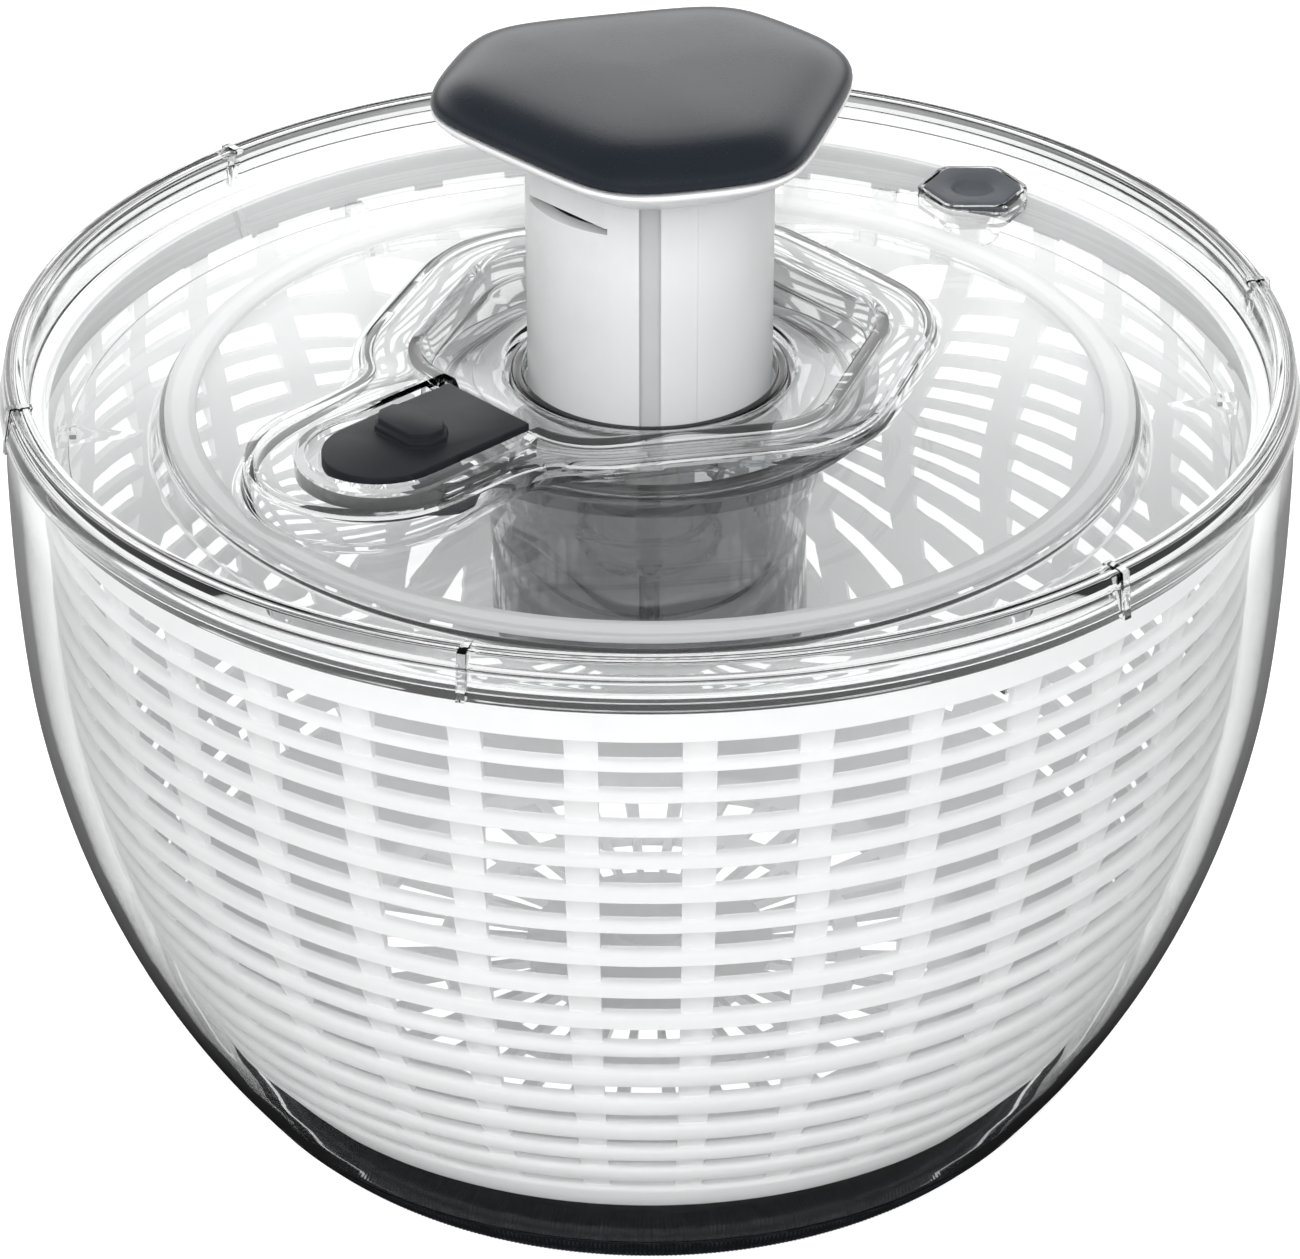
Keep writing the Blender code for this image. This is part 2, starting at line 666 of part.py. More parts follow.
def make_drive_ring(mat, parent):
    bottom = ROTOR_DISC_TOP + GAP
    profile = [(91.2, bottom), (97.5, bottom), (97.5, 148.7), (91.2, 148.7)]
    return turned("drive_ring", profile, mat, parent, WIDE_STEPS)


# ---- slider lock --------------------------------------------------------------------
def make_slider(mat, parent):
    """The lock's plate with its thumb tab on top and its stem below, along local +X."""
    bottom, top = SLIDER_PLATE
    slider = prism("slider_lock", stadium(SLIDER_INNER_END, SLIDER_END_CENTRE, SLIDER_HALF_WIDTH),
                   bottom, top, mat, parent)
    foot = chamfered_box((60.9, -1.5), 10.0, 16.0, 3.0)
    crown = chamfered_box((60.9, -1.5), 8.6, 14.6, 2.6)
    tab = lofted("tab_cutter", [(foot, top - 1), (foot, top + 1.6), (crown, top + 2.0),
                                (crown, top + 3.9)], mat, parent)
    stem = prism("stem_cutter", [(62.7, -2), (66.7, -2), (66.7, 2), (62.7, 2)], 155.2,
                 bottom + 1, mat, parent)
    join(slider, tab)
    join(slider, stem)
    return slider


def make_brake_foot(mat, parent):
    """The soft foot on the stem's end, which lies over the spinning disc."""
    outline = chamfered_box((62.0, 5.5), 10.0, 17.0, 3.0)
    return prism("brake_foot", outline, 150.6, 154.9, mat, parent)


# ---- assembly -----------------------------------------------------------------------
def build():
    clear = material("clear_plastic", (0.93, 0.95, 0.96), 0.08, alpha=0.3)
    smoked = material("smoked_plastic", (0.25, 0.26, 0.27), 0.12, alpha=0.6)
    white = material("white_plastic", (0.9, 0.9, 0.9), 0.35)
    dark = material("dark_soft_plastic", (0.05, 0.057, 0.065), 0.55)
    rubber = material("black_rubber", (0.02, 0.021, 0.022), 0.7)
    acetal = material("acetal", (0.78, 0.78, 0.75), 0.4)
    steel = material("steel", (0.55, 0.56, 0.57), 0.3, metallic=1.0)

    base = frame_empty("base_frame")
    make_bowl(clear, base)
    make_base_ring(rubber, base)

    basket_axis = frame_empty("basket_axis")
    make_basket(white, basket_axis)

    lid = frame_empty("lid_frame")
    make_lid(clear, lid)
    make_housing(clear, lid)
    make_housing_cap(white, lid)
    make_shaft_bush(acetal, lid)
    for i in range(3):
        at = around(SCREW_CIRCLE, math.radians(120 * i + 30))
        make_screw(f"cap_screw_{i + 1}", steel, lid, at, 104.3, 1)

    plug_frame = frame_empty("plug_frame", (*around(PLUG_REACH, PLUG_AZIMUTH), 0.0))
    make_plug(dark, plug_frame)

    slide_frame = frame_empty("slide_frame", turn=SLIDE_AZIMUTH)
    make_slider(dark, slide_frame)
    make_brake_foot(rubber, slide_frame)

    handle = frame_empty("handle_frame")
    make_knob_cap(dark, handle)
    make_knob_base(white, handle)
    make_sleeve(white, handle)
    make_drive_nut(acetal, handle)
    for i in range(3):
        at = around(23.0, math.radians(120 * i + 60))
        make_screw(f"knob_screw_{i + 1}", steel, handle, at, 209.3, -1)
    make_spring(steel, handle)

    shaft_axis = frame_empty("shaft_axis")
    make_spiral_shaft(acetal, shaft_axis)
    make_pawl_carrier(dark, shaft_axis)
    for i in range(2):
        make_pawl(f"pawl_{i + 1}", math.pi * i, acetal, shaft_axis)
    make_washer(steel, shaft_axis)
    make_screw("shaft_screw", steel, shaft_axis, (0, 0), SHAFT_FOOT - 2 * GAP - 1.0, 1, head=3.2)

    rotor_axis = frame_empty("rotor_axis")
    make_rotor_cup(smoked, rotor_axis)
    make_drive_disc(clear, rotor_axis)
    make_drive_ring(white, rotor_axis)
    make_ratchet(dark, rotor_axis)


for old in list(bpy.data.objects):
    bpy.data.objects.remove(old)
build()
bpy.context.view_layer.update()
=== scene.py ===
"""Looks of the press-down salad spinner: fine pieces, materials, light and camera.

Pieces are drawn in millimetres and scaled to the scene's metres. Materials, lamps and the
camera are in metres. +Z is up, and every turned piece shares the Z axis.
"""
import math

import bmesh
import bpy
from mathutils import Matrix, Vector


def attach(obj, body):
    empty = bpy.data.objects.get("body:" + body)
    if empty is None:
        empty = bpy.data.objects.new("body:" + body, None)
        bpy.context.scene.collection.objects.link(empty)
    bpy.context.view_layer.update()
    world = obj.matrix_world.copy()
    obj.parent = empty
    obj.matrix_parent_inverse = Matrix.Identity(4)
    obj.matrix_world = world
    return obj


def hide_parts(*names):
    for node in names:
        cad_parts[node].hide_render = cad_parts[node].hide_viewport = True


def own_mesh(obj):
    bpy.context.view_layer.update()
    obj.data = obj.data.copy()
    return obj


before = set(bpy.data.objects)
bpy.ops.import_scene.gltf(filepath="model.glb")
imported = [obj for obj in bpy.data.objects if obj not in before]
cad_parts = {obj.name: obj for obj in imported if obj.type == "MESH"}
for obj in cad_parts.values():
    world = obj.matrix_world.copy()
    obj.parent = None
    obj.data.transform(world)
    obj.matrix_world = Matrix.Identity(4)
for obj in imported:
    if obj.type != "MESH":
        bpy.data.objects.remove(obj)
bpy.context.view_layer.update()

MM = 0.001

HEX_PHASE = math.radians(11)           # turn of the hexagons in the lid
SLIDE_AZIMUTH = math.radians(-136)     # the slider's direction from the axis
PLUG_AZIMUTH = math.radians(49.6)
PLUG_REACH = 108.2                     # from the axis to the drain plug
COLLAR_RADIUS = 29.3                   # hole in the lid round the sleeve
RIDGE_TOP = 163.0                      # top of the raised platform
PLATFORM_CORNER = 62.0
PLATFORM_FILLET = 28.0
POD_HALF_WIDTH = 25.0
POD_END = 73.0                         # centre of the pod's round end
KNOB_SIDES = (36.4, 41.9)              # distances of its long and short sides from the axis
KNOB_POWER = 9.5                       # a higher power gives straighter sides
BOSS_CIRCLE = 27.6                     # radius on which the housing's screws stand


# ---- node materials -----------------------------------------------------------------
class Nodes:
    """A material's node tree with short calls to add and link its nodes."""

    def __init__(self, name):
        self.material = bpy.data.materials.new(name)
        self.material.use_nodes = True
        self.tree = self.material.node_tree
        self.shader = self.tree.nodes["Principled BSDF"]
        self.output = self.tree.nodes["Material Output"]
        self.place = self.add("ShaderNodeTexCoord").outputs["Object"]

    def add(self, kind, **settings):
        node = self.tree.nodes.new(kind)
        for key, value in settings.items():
            setattr(node, key, value)
        return node

    def link(self, source, target):
        self.tree.links.new(source, target)

    def noise(self, scale, detail=3.0, roughness=0.5, stretch=(1, 1, 1)):
        """Noise over the piece; scale counts patches per metre."""
        texture = self.add("ShaderNodeTexNoise")
        texture.inputs["Scale"].default_value = scale
        texture.inputs["Detail"].default_value = detail
        texture.inputs["Roughness"].default_value = roughness
        mapping = self.add("ShaderNodeMapping")
        mapping.inputs["Scale"].default_value = stretch
        self.link(self.place, mapping.inputs["Vector"])
        self.link(mapping.outputs["Vector"], texture.inputs["Vector"])
        return texture.outputs["Fac"]

    def ramp(self, source, stops):
        node = self.add("ShaderNodeValToRGB")
        while len(node.color_ramp.elements) < len(stops):
            node.color_ramp.elements.new(0.5)
        for element, (position, colour) in zip(node.color_ramp.elements, stops):
            element.position = position
            element.color = (*colour, 1.0)
        self.link(source, node.inputs["Fac"])
        return node.outputs["Color"]

    def span(self, source, low, high, source_low=0.3, source_high=0.7):
        node = self.add("ShaderNodeMapRange")
        node.inputs["From Min"].default_value = source_low
        node.inputs["From Max"].default_value = source_high
        node.inputs["To Min"].default_value = low
        node.inputs["To Max"].default_value = high
        self.link(source, node.inputs["Value"])
        return node.outputs["Result"]

    def blend(self, factor, first, second, how="MIX"):
        node = self.add("ShaderNodeMix", data_type="RGBA", blend_type=how)
        self.link(factor, node.inputs["Factor"])
        self.link(first, node.inputs["A"])
        self.link(second, node.inputs["B"])
        return node.outputs["Result"]

    def bump(self, source, distance, strength=1.0, below=None):
        node = self.add("ShaderNodeBump")
        node.inputs["Strength"].default_value = strength
        node.inputs["Distance"].default_value = distance
        self.link(source, node.inputs["Height"])
        if below is not None:
            self.link(below, node.inputs["Normal"])
        return node.outputs["Normal"]


def shade(colour, factor):
    return tuple(min(1.0, channel * factor) for channel in colour)


def moulded(name, colour, roughness, grain=0.00002, grain_scale=2600, wear_and_glint=0.12, clouds=0.035,
            specular=0.5, rub=0.05):
    """Moulded plastic: soft clouds in the colour, paler worn edges, a fine spark-eroded grain."""
    n = Nodes(name)
    cloud = n.noise(38, detail=4)
    body = n.ramp(cloud, [(0.3, shade(colour, 1 - clouds)), (0.7, shade(colour, 1 + clouds))])
    # paler edges: wear, and where the paleness is strong, as on the black foot rubber, painted
    # glints on its ribs
    edge = n.add("ShaderNodeNewGeometry").outputs["Pointiness"]
    edge_paleness = n.span(edge, 0.0, 1.0, 0.515, 0.58)       # pointiness is over 0.5 on outer edges
    patchy = n.span(n.noise(260, detail=5), 0.0, 1.0, 0.35, 0.65)
    both = n.add("ShaderNodeMath", operation="MULTIPLY")
    n.link(edge_paleness, both.inputs[0])
    n.link(patchy, both.inputs[1])
    pale = n.ramp(cloud, [(0.0, shade(colour, 1 + wear_and_glint)), (1.0, shade(colour, 1 + wear_and_glint * 1.3))])
    n.link(n.blend(both.outputs["Value"], body, pale), n.shader.inputs["Base Color"])
    handled = n.noise(120, detail=5, roughness=0.65)
    n.link(n.span(handled, roughness - rub, roughness + rub), n.shader.inputs["Roughness"])
    n.shader.inputs["Specular IOR Level"].default_value = specular
    n.link(n.bump(n.noise(grain_scale, detail=2), grain), n.shader.inputs["Normal"])
    return n


def clear(name, tint=(0.985, 0.99, 0.99), low=0.0, high=0.006, density=14.0,
          depth=(0.9, 0.91, 0.915), shadow=(0.975, 0.975, 0.975)):
    """Clear moulded plastic with faint flow waves, handling haze and a grey depth. Lamps
    shine through it, dimmed by shadow."""
    n = Nodes(name)
    n.shader.inputs["Transmission Weight"].default_value = 1.0
    n.shader.inputs["IOR"].default_value = 1.45
    haze = n.noise(70, detail=5, roughness=0.6)
    n.link(n.ramp(haze, [(0.25, shade(tint, 0.99)), (0.75, tint)]), n.shader.inputs["Base Color"])
    n.link(n.span(haze, low, high, 0.35, 0.75), n.shader.inputs["Roughness"])
    flow = n.noise(16, detail=2)
    n.link(n.bump(flow, 0.0004, 0.05), n.shader.inputs["Normal"])
    through = n.add("ShaderNodeBsdfTransparent")
    through.inputs["Color"].default_value = (*shadow, 1.0)
    mixed = n.add("ShaderNodeMixShader")
    n.link(n.add("ShaderNodeLightPath").outputs["Is Shadow Ray"], mixed.inputs["Fac"])
    n.link(n.shader.outputs["BSDF"], mixed.inputs[1])
    n.link(through.outputs["BSDF"], mixed.inputs[2])
    n.link(mixed.outputs["Shader"], n.output.inputs["Surface"])
    volume = n.add("ShaderNodeVolumeAbsorption")
    volume.inputs["Color"].default_value = (*depth, 1.0)
    volume.inputs["Density"].default_value = density
    n.link(volume.outputs["Volume"], n.output.inputs["Volume"])
    return n


def rubber(name, colour, wear_and_glint=0.5, specular=0.25):
    """Soft rubber: matt, with dust in its pores and paler edges; on the black foot the paler
    edges also paint glints.
    """
    return moulded(name, colour, 0.5, grain=0.00006, grain_scale=1500, wear_and_glint=wear_and_glint, clouds=0.12,
                   specular=specular)


def paint_groove_shade(n):
    """Paint shade into a look's colour in the narrow groove that runs up the front of the sleeve.
    """
    split = n.add("ShaderNodeSeparateXYZ")
    n.link(n.place, split.inputs["Vector"])
    aside = n.add("ShaderNodeMath", operation="ABSOLUTE")
    n.link(split.outputs["X"], aside.inputs[0])
    within = n.span(aside.outputs["Value"], 1.0, 0.0, 0.0019, 0.0023)      # metres
    mask = n.add("ShaderNodeMath", operation="MULTIPLY")
    n.link(within, mask.inputs[0])
    n.link(n.span(split.outputs["Y"], 1.0, 0.0, -0.02, -0.018), mask.inputs[1])
    base = n.shader.inputs["Base Color"]
    plain = base.links[0].from_socket
    # painted shade: a darker grey in the groove, where its recess is in shadow
    shade_of = n.ramp(n.noise(90), [(0.3, (0.5, 0.503, 0.51)), (0.7, (0.53, 0.533, 0.54))])
    n.link(n.blend(mask.outputs["Value"], plain, shade_of), base)
    return n


def brushed_steel(name):
    """Bright drawn steel with fine lines round the Z axis."""
    n = Nodes(name)
    n.shader.inputs["Metallic"].default_value = 1.0
    streaks = n.noise(900, detail=4, stretch=(1, 1, 6))
    n.link(n.ramp(streaks, [(0.3, (0.42, 0.43, 0.44)), (0.7, (0.62, 0.62, 0.61))]),
           n.shader.inputs["Base Color"])
    n.link(n.span(n.noise(300, detail=4), 0.22, 0.38), n.shader.inputs["Roughness"])
    n.link(n.bump(streaks, 0.00001), n.shader.inputs["Normal"])
    return n


CLEAR = clear("clear bowl plastic").material
CLEAR_LID = clear("clear lid plastic", density=16.0).material
SMOKED = clear("smoked plastic", tint=(0.55, 0.56, 0.57), low=0.01, high=0.04, density=170.0,
               depth=(0.45, 0.46, 0.47), shadow=(0.6, 0.6, 0.6)).material
WHITE = moulded("white basket plastic", (0.89, 0.893, 0.897), 0.34, wear_and_glint=0.05,
                clouds=0.012).material
GLOSS_WHITE = moulded("white handle plastic", (0.71, 0.713, 0.72), 0.26, wear_and_glint=0.04,
                      clouds=0.012, rub=0.012).material
# the sleeve's groove gets painted shade
GROOVED_WHITE = paint_groove_shade(moulded("white sleeve plastic", (0.71, 0.713, 0.72), 0.26,
                                      wear_and_glint=0.04, clouds=0.012, rub=0.012)).material
RING_WHITE = moulded("white ring plastic", (0.6, 0.603, 0.607), 0.34, wear_and_glint=0.05,
                     clouds=0.012).material
SOFT_TOUCH = moulded("soft touch charcoal", (0.0112, 0.0146, 0.0196), 0.27, grain=0.00001,
                     wear_and_glint=0.35, clouds=0.04, specular=0.19, rub=0.012).material
CHARCOAL = moulded("charcoal plastic", (0.009, 0.0107, 0.0135), 0.56, wear_and_glint=0.5, clouds=0.05,
                   specular=0.32, rub=0.02).material
PLUG_RUBBER = rubber("grey plug rubber", (0.07, 0.076, 0.085)).material
# a strong edge paleness: painted glints on the foot ring's ribs, besides wear
BLACK_RUBBER = rubber("black foot rubber", (0.005, 0.006, 0.008), 8.0, 0.14).material
ACETAL = moulded("acetal", (0.72, 0.72, 0.7), 0.36, wear_and_glint=0.05).material
STEEL = brushed_steel("drawn steel").material


# ---- outlines -----------------------------------------------------------------------
def around(radius, angle):
    return (radius * math.cos(angle), radius * math.sin(angle))


def circle(radius, steps, phase=0.0):
    return [around(radius, phase + 2 * math.pi * i / steps) for i in range(steps)]


def hexagon_reach(angle, corner, fillet, phase=HEX_PHASE):
    """Distance from the centre of a rounded hexagon to its edge, in direction angle."""
    sixth = math.pi / 3
    from_corner = (angle - phase + sixth / 2) % sixth - sixth / 2
    centre = corner - fillet / math.cos(sixth / 2)
    inside = fillet ** 2 - (centre * math.sin(from_corner)) ** 2
    if inside > 0:
        reach = centre * math.cos(from_corner) + math.sqrt(inside)
        if abs(reach * math.sin(from_corner)) <= fillet * math.sin(sixth / 2):
            return reach
    return corner * math.cos(sixth / 2) / math.cos(sixth / 2 - abs(from_corner))


def hexagon(corner, fillet, steps, phase=HEX_PHASE):
    angles = [phase + 2 * math.pi * i / steps for i in range(steps)]
    return [around(hexagon_reach(angle, corner, fillet, phase), angle) for angle in angles]


def pod_reach(angle, half_width):
    """Distance from the axis to the side or the round end of the slider's pod."""
    off = angle - SLIDE_AZIMUTH
    if math.cos(off) <= 0:
        return 0.0
    side = half_width / max(abs(math.sin(off)), 1e-6)
    if side * math.cos(off) <= POD_END:
        return side
    inside = half_width ** 2 - (POD_END * math.sin(off)) ** 2
    return POD_END * math.cos(off) + math.sqrt(max(inside, 0.0))


def platform(grow, steps):
    """The raised platform's outline: a rounded hexagon that runs smoothly into the pod."""
    power = 12.0            # a higher power gives a tighter corner between the two
    points = []
    for i in range(steps):
        angle = HEX_PHASE + 2 * math.pi * i / steps
        ridge = hexagon_reach(angle, PLATFORM_CORNER, PLATFORM_FILLET) + grow
        pod = pod_reach(angle, POD_HALF_WIDTH + grow)
        points.append(around((ridge ** power + pod ** power) ** (1 / power), angle))
    return points


def knob_outline(inset, steps=216):
    """Long and short sides in turn, bowed and round-cornered; a long one faces the slider."""
    points = []
    for i in range(steps):
        turn = 2 * math.pi * i / steps
        total = 0.0
        for side in range(6):
            distance = KNOB_SIDES[side % 2] - inset
            total += max(math.cos(turn - side * math.pi / 3) / distance, 0.0) ** KNOB_POWER
        points.append(around(total ** (-1 / KNOB_POWER), SLIDE_AZIMUTH + turn))
    return points


def stadium(inner, end_centre, half_width, steps=24):
    """A bar along +X from inner to a round end about end_centre."""
    points = [(inner, half_width), (inner, -half_width)]
    for i in range(steps + 1):
        angle = math.pi * (i / steps - 0.5)
        points.append((end_centre + half_width * math.cos(angle), half_width * math.sin(angle)))
    return points


def chamfered_box(centre, length, width, cut_by):
    """A rectangle with cut corners, long sides along Y."""
    x, y = length / 2, width / 2
    corners = [(x - cut_by, -y), (x, -y + cut_by), (x, y - cut_by), (x - cut_by, y),
               (cut_by - x, y), (-x, y - cut_by), (-x, cut_by - y), (cut_by - x, -y)]
    return [(centre[0] + px, centre[1] + py) for px, py in corners]


def rounded(corners, arc=4):
    """A closed profile of (radius, height, fillet) with its corners turned into arcs."""
    points = []
    count = len(corners)
    for i, (radius, height, fillet) in enumerate(corners):
        here = Vector((radius, height))
        if fillet == 0:
            points.append(tuple(here))
            continue
        before = Vector(corners[i - 1][:2]) - here
        after = Vector(corners[(i + 1) % count][:2]) - here
        half = before.angle(after) / 2
        reach = min(fillet / math.tan(half), 0.48 * before.length, 0.48 * after.length)
        start = here + before.normalized() * reach
        end = here + after.normalized() * reach
        for k in range(arc + 1):
            t = k / arc
            points.append(tuple(start * (1 - t) ** 2 + here * 2 * t * (1 - t) + end * t * t))
    return points


def smooth_row(points, per_span):
    """A Catmull-Rom curve through points, with per_span steps between two of them."""
    row = [Vector(points[0]) * 2 - Vector(points[1])] + [Vector(p) for p in points]
    row.append(row[-1] * 2 - row[-2])
    curve = []
    for a, b, c, d in zip(row, row[1:], row[2:], row[3:]):
        for k in range(per_span):
            t = k / per_span
            curve.append(tuple(0.5 * (2 * b + (c - a) * t + (2 * a - 5 * b + 4 * c - d) * t * t
                                      + (3 * b - a - 3 * c + d) * t ** 3)))
    curve.append(tuple(points[-1]))
    return curve


def offset(profile, wall):
    """A turned profile moved by wall to its left, seen along its run."""
    moved = []
    for i, here in enumerate(profile):
        before = Vector(profile[max(i - 1, 0)])
        after = Vector(profile[min(i + 1, len(profile) - 1)])
        run = (after - before).normalized()
        moved.append((here[0] - run.y * wall, here[1] + run.x * wall))
    return moved


# ---- solids -------------------------------------------------------------------------
def piece(name, bm, look, body, nodes, angle=35, turn=0.0, at=(0.0, 0.0)):
    """Turn a bmesh in millimetres into a piece that rides on body and stands for nodes."""
    bmesh.ops.remove_doubles(bm, verts=bm.verts, dist=1e-4)
    bmesh.ops.recalc_face_normals(bm, faces=bm.faces)
    spot = Matrix.Translation((at[0] * MM, at[1] * MM, 0)) @ Matrix.Rotation(turn, 4, "Z")
    bmesh.ops.transform(bm, matrix=spot @ Matrix.Scale(MM, 4), verts=bm.verts)
    mesh = bpy.data.meshes.new(name)
    bm.to_mesh(mesh)
    bm.free()
    mesh.shade_smooth()
    mesh.set_sharp_from_angle(angle=math.radians(angle))
    mesh.materials.append(look)
    made = bpy.data.objects.new(name, mesh)
    bpy.context.scene.collection.objects.link(made)
    if body is not None:
        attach(made, body)
        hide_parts(*nodes)
    return made


def turned(profile, steps=160):
    """Spin a profile of (radius, height) about Z. It closes on itself off the axis."""
    bm = bmesh.new()
    points = [bm.verts.new((radius, 0, height)) for radius, height in profile]
    edges = [bm.edges.new(pair) for pair in zip(points, points[1:])]
    if min(radius for radius, height in profile) > 0:
        edges.append(bm.edges.new((points[-1], points[0])))
    bmesh.ops.spin(bm, geom=points + edges, cent=(0, 0, 0), axis=(0, 0, 1),
                   angle=2 * math.pi, steps=steps, use_merge=True)
    return bm


def skinned(loops, ring=False):
    """Skin a row of loops of 3D points; ring joins the last to the first."""
    bm = bmesh.new()
    rows = [[bm.verts.new(point) for point in loop] for loop in loops]
    pairs = list(zip(rows, rows[1:]))
    if ring:
        pairs.append((rows[-1], rows[0]))
    else:
        bm.faces.new(rows[0])
        bm.faces.new(rows[-1])
    count = len(rows[0])
    for lower, upper in pairs:
        for i in range(count):
            j = (i + 1) % count
            bm.faces.new((lower[i], lower[j], upper[j], upper[i]))
    return bm


def level(outline, height):
    return [(x, y, height) for x, y in outline]


def prism(outline, bottom, top):
    return skinned([level(outline, bottom), level(outline, top)])


def rod(radius, bottom, top, at=(0.0, 0.0), steps=24):
    return prism([(at[0] + x, at[1] + y) for x, y in circle(radius, steps)], bottom, top)


def bake(target):
    """Replace a piece's mesh by the same mesh with its modifiers in it."""
    graph = bpy.context.evaluated_depsgraph_get()
    done = bpy.data.meshes.new_from_object(target.evaluated_get(graph))
    target.modifiers.clear()
    target.data = done


def carve(target, tools, angle=35):
    """Cut or join helper shapes, each (bmesh, operation, turn, place), then remove them."""
    helpers = []
    for bm, operation, turn, at in tools:
        helper = piece("helper", bm, target.data.materials[0], None, (), turn=turn, at=at)
        step = target.modifiers.new("carve", "BOOLEAN")
        step.object = helper
        step.operation = operation
        step.solver = "EXACT"
        helpers.append(helper)
    bpy.context.view_layer.update()
    bake(target)
    for helper in helpers:
        bpy.data.objects.remove(helper)
    target.data.shade_smooth()
    target.data.set_sharp_from_angle(angle=math.radians(angle))


def soften(target, width, segments=2, angle=30):
    """Round a piece's sharp edges."""
    step = target.modifiers.new("soften", "BEVEL")
    step.width = width * MM
    step.segments = segments
    step.limit_method = "ANGLE"
    step.angle_limit = math.radians(angle)
    step.harden_normals = False
    bpy.context.view_layer.update()
    bake(target)
    target.data.shade_smooth()
    target.data.set_sharp_from_angle(angle=math.radians(50))


# ---- bowl and its foot --------------------------------------------------------------
BOWL_WALL = 2.1
BOWL_CURVE = [(93.9, 4.0), (97.9, 10.0), (102.9, 18.0), (108.4, 28.0), (114.0, 40.0),
              (119.6, 55.0), (124.3, 72.0), (127.8, 92.0), (129.2, 115.0), (129.3, 140.0),
              (128.6, 156.0)]


def make_bowl():
    """The outside from the foot up, the rim, the inside down to the pin for the basket."""
    outer = smooth_row(BOWL_CURVE, 6)
    inner = offset(outer[4:], BOWL_WALL)[::-1]
    foot = rounded([(0, 6.2, 0), (88.9, 6.2, 0.6), (88.9, 1.3, 0.4), (91.6, 1.3, 0.8),
                    (93.9, 4.0, 0.0)])[:-1]
    rim = rounded([outer[-1] + (0.0,), (128.4, 159.0, 0.9), (126.6, 159.0, 0.9),
                   inner[0] + (0.0,)])[1:-1]
    pin = rounded([inner[-1] + (0.0,), (90.6, 8.4, 3.0), (5.8, 8.4, 1.2), (5.0, 14.6, 0.4),
                   (3.4, 16.4, 0.8), (0, 16.4, 0)])[1:]
    piece("bowl", turned(foot + outer + rim + inner + pin, 224), CLEAR, "base", ["bowl"])


def make_base_ring():
    """The non-slip ring moulded into the foot, with fine ribs on its side and its top."""
    teeth = 640
    steps = teeth * 4            # two points on each rib and two in each gap
    # radius, height, how deep a gap is cut inwards, how deep it is cut down
    rows = [(78.0, 0.0, 0.0, 0.0), (88.0, 0.0, 0.0, 0.0), (90.4, 0.0, 0.2, 0.0),
            (90.6, 0.5, 0.45, 0.0), (90.6, 2.9, 0.45, 0.0), (90.2, 3.3, 0.0, 0.0),
            (89.9, 3.6, 0.0, 0.0), (89.9, 4.2, 0.45, 0.0), (89.9, 6.3, 0.45, 0.0),
            (89.4, 6.7, 0.0, 0.0), (88.6, 6.7, 0.0, 0.35), (85.4, 6.7, 0.0, 0.35),
            (84.8, 6.7, 0.0, 0.0), (84.2, 6.4, 0.0, 0.0), (78.4, 6.4, 0.0, 0.0),
            (78.0, 6.0, 0.0, 0.0)]
    loops = []
    for radius, height, inwards, down in rows:
        loop = []
        for i in range(steps):
            in_gap = i % 4 in (1, 2)
            point = around(radius - inwards * in_gap, 2 * math.pi * i / steps)
            loop.append((*point, height - down * in_gap))
        loops.append(loop)
    piece("base_ring", skinned(loops, ring=True), BLACK_RUBBER, "base", ["base_ring"],
          angle=50)


# ---- basket -------------------------------------------------------------------------
BASKET_CURVE = [(122.5, 149.0), (122.5, 141.8), (122.2, 115.0), (120.8, 92.0), (117.5, 72.0),
                (113.0, 55.0), (107.7, 40.0), (102.2, 28.0), (96.5, 18.3)]
GAP_HEIGHTS = [141.0, 134.7, 128.1, 120.7, 113.7, 106.0, 99.1, 91.3, 83.5, 75.5, 68.3, 59.8,
               51.5, 43.6, 36.6, 29.0]
BASKET_RIBS = 36
RIB_PHASE = math.radians(-95.8)
RIB_SHARE = 0.29             # part of the pitch from rib to rib that the rib takes
HOOP_BULGE = 1.2             # how far the hoops stand out of the wall
BASKET_WALL = 2.3
BASKET_FOOT = 19.5           # height at which the wall turns into the floor
GAP_HALF = 2.05              # half the height of a gap in the upper rows
LOWEST_GAP_SHARE = 0.58      # a gap at the foot has this share of an upper gap's height
BASKET_FINE = smooth_row(BASKET_CURVE, 8)


def basket_radius(height):
    """Radius of the basket's outer wall at a height."""
    for (r1, z1), (r2, z2) in zip(BASKET_FINE, BASKET_FINE[1:]):
        if z2 <= height <= z1:
            return r1 + (r2 - r1) * (z1 - height) / (z1 - z2)
    return BASKET_FINE[0][0] if height > BASKET_FINE[0][1] else BASKET_FINE[-1][0]


def basket_rows():
    """The wall from the rim down: (outer radius, height, is the cell below a gap row)."""
    rows = [(121.9, 150.0, False), (122.5, 149.4, False), (122.5, 146.0, False)]
    for i, gap in enumerate(GAP_HEIGHTS):
        high = min(max((gap - 26.0) / 60.0, 0.0), 1.0)       # 0 at the foot, 1 from 86 mm up
        reach = GAP_HALF * (LOWEST_GAP_SHARE + (1 - LOWEST_GAP_SHARE) * high)
        top, bottom = gap + reach, gap - reach
        rows.append((basket_radius(top + 0.25), top + 0.2, False))
        rows.append((basket_radius(top) - 0.2, top, True))
        rows.append((basket_radius(bottom) - HOOP_BULGE, bottom - 0.3, False))
        is_last = i + 1 == len(GAP_HEIGHTS)
        below = BASKET_FOOT if is_last else GAP_HEIGHTS[i + 1] + GAP_HALF
        # the hoop between two gaps, rounded: drop under the gap, share of the bulge taken off
        for drop, inset in ((0.45, 0.6), (0.7, 0.34), (1.05, 0.14), (1.5, 0.03), (2.0, 0.0)):
            height = bottom - drop
            if height > below + 0.4:
                rows.append((basket_radius(height) - HOOP_BULGE * inset, height, False))
    return rows


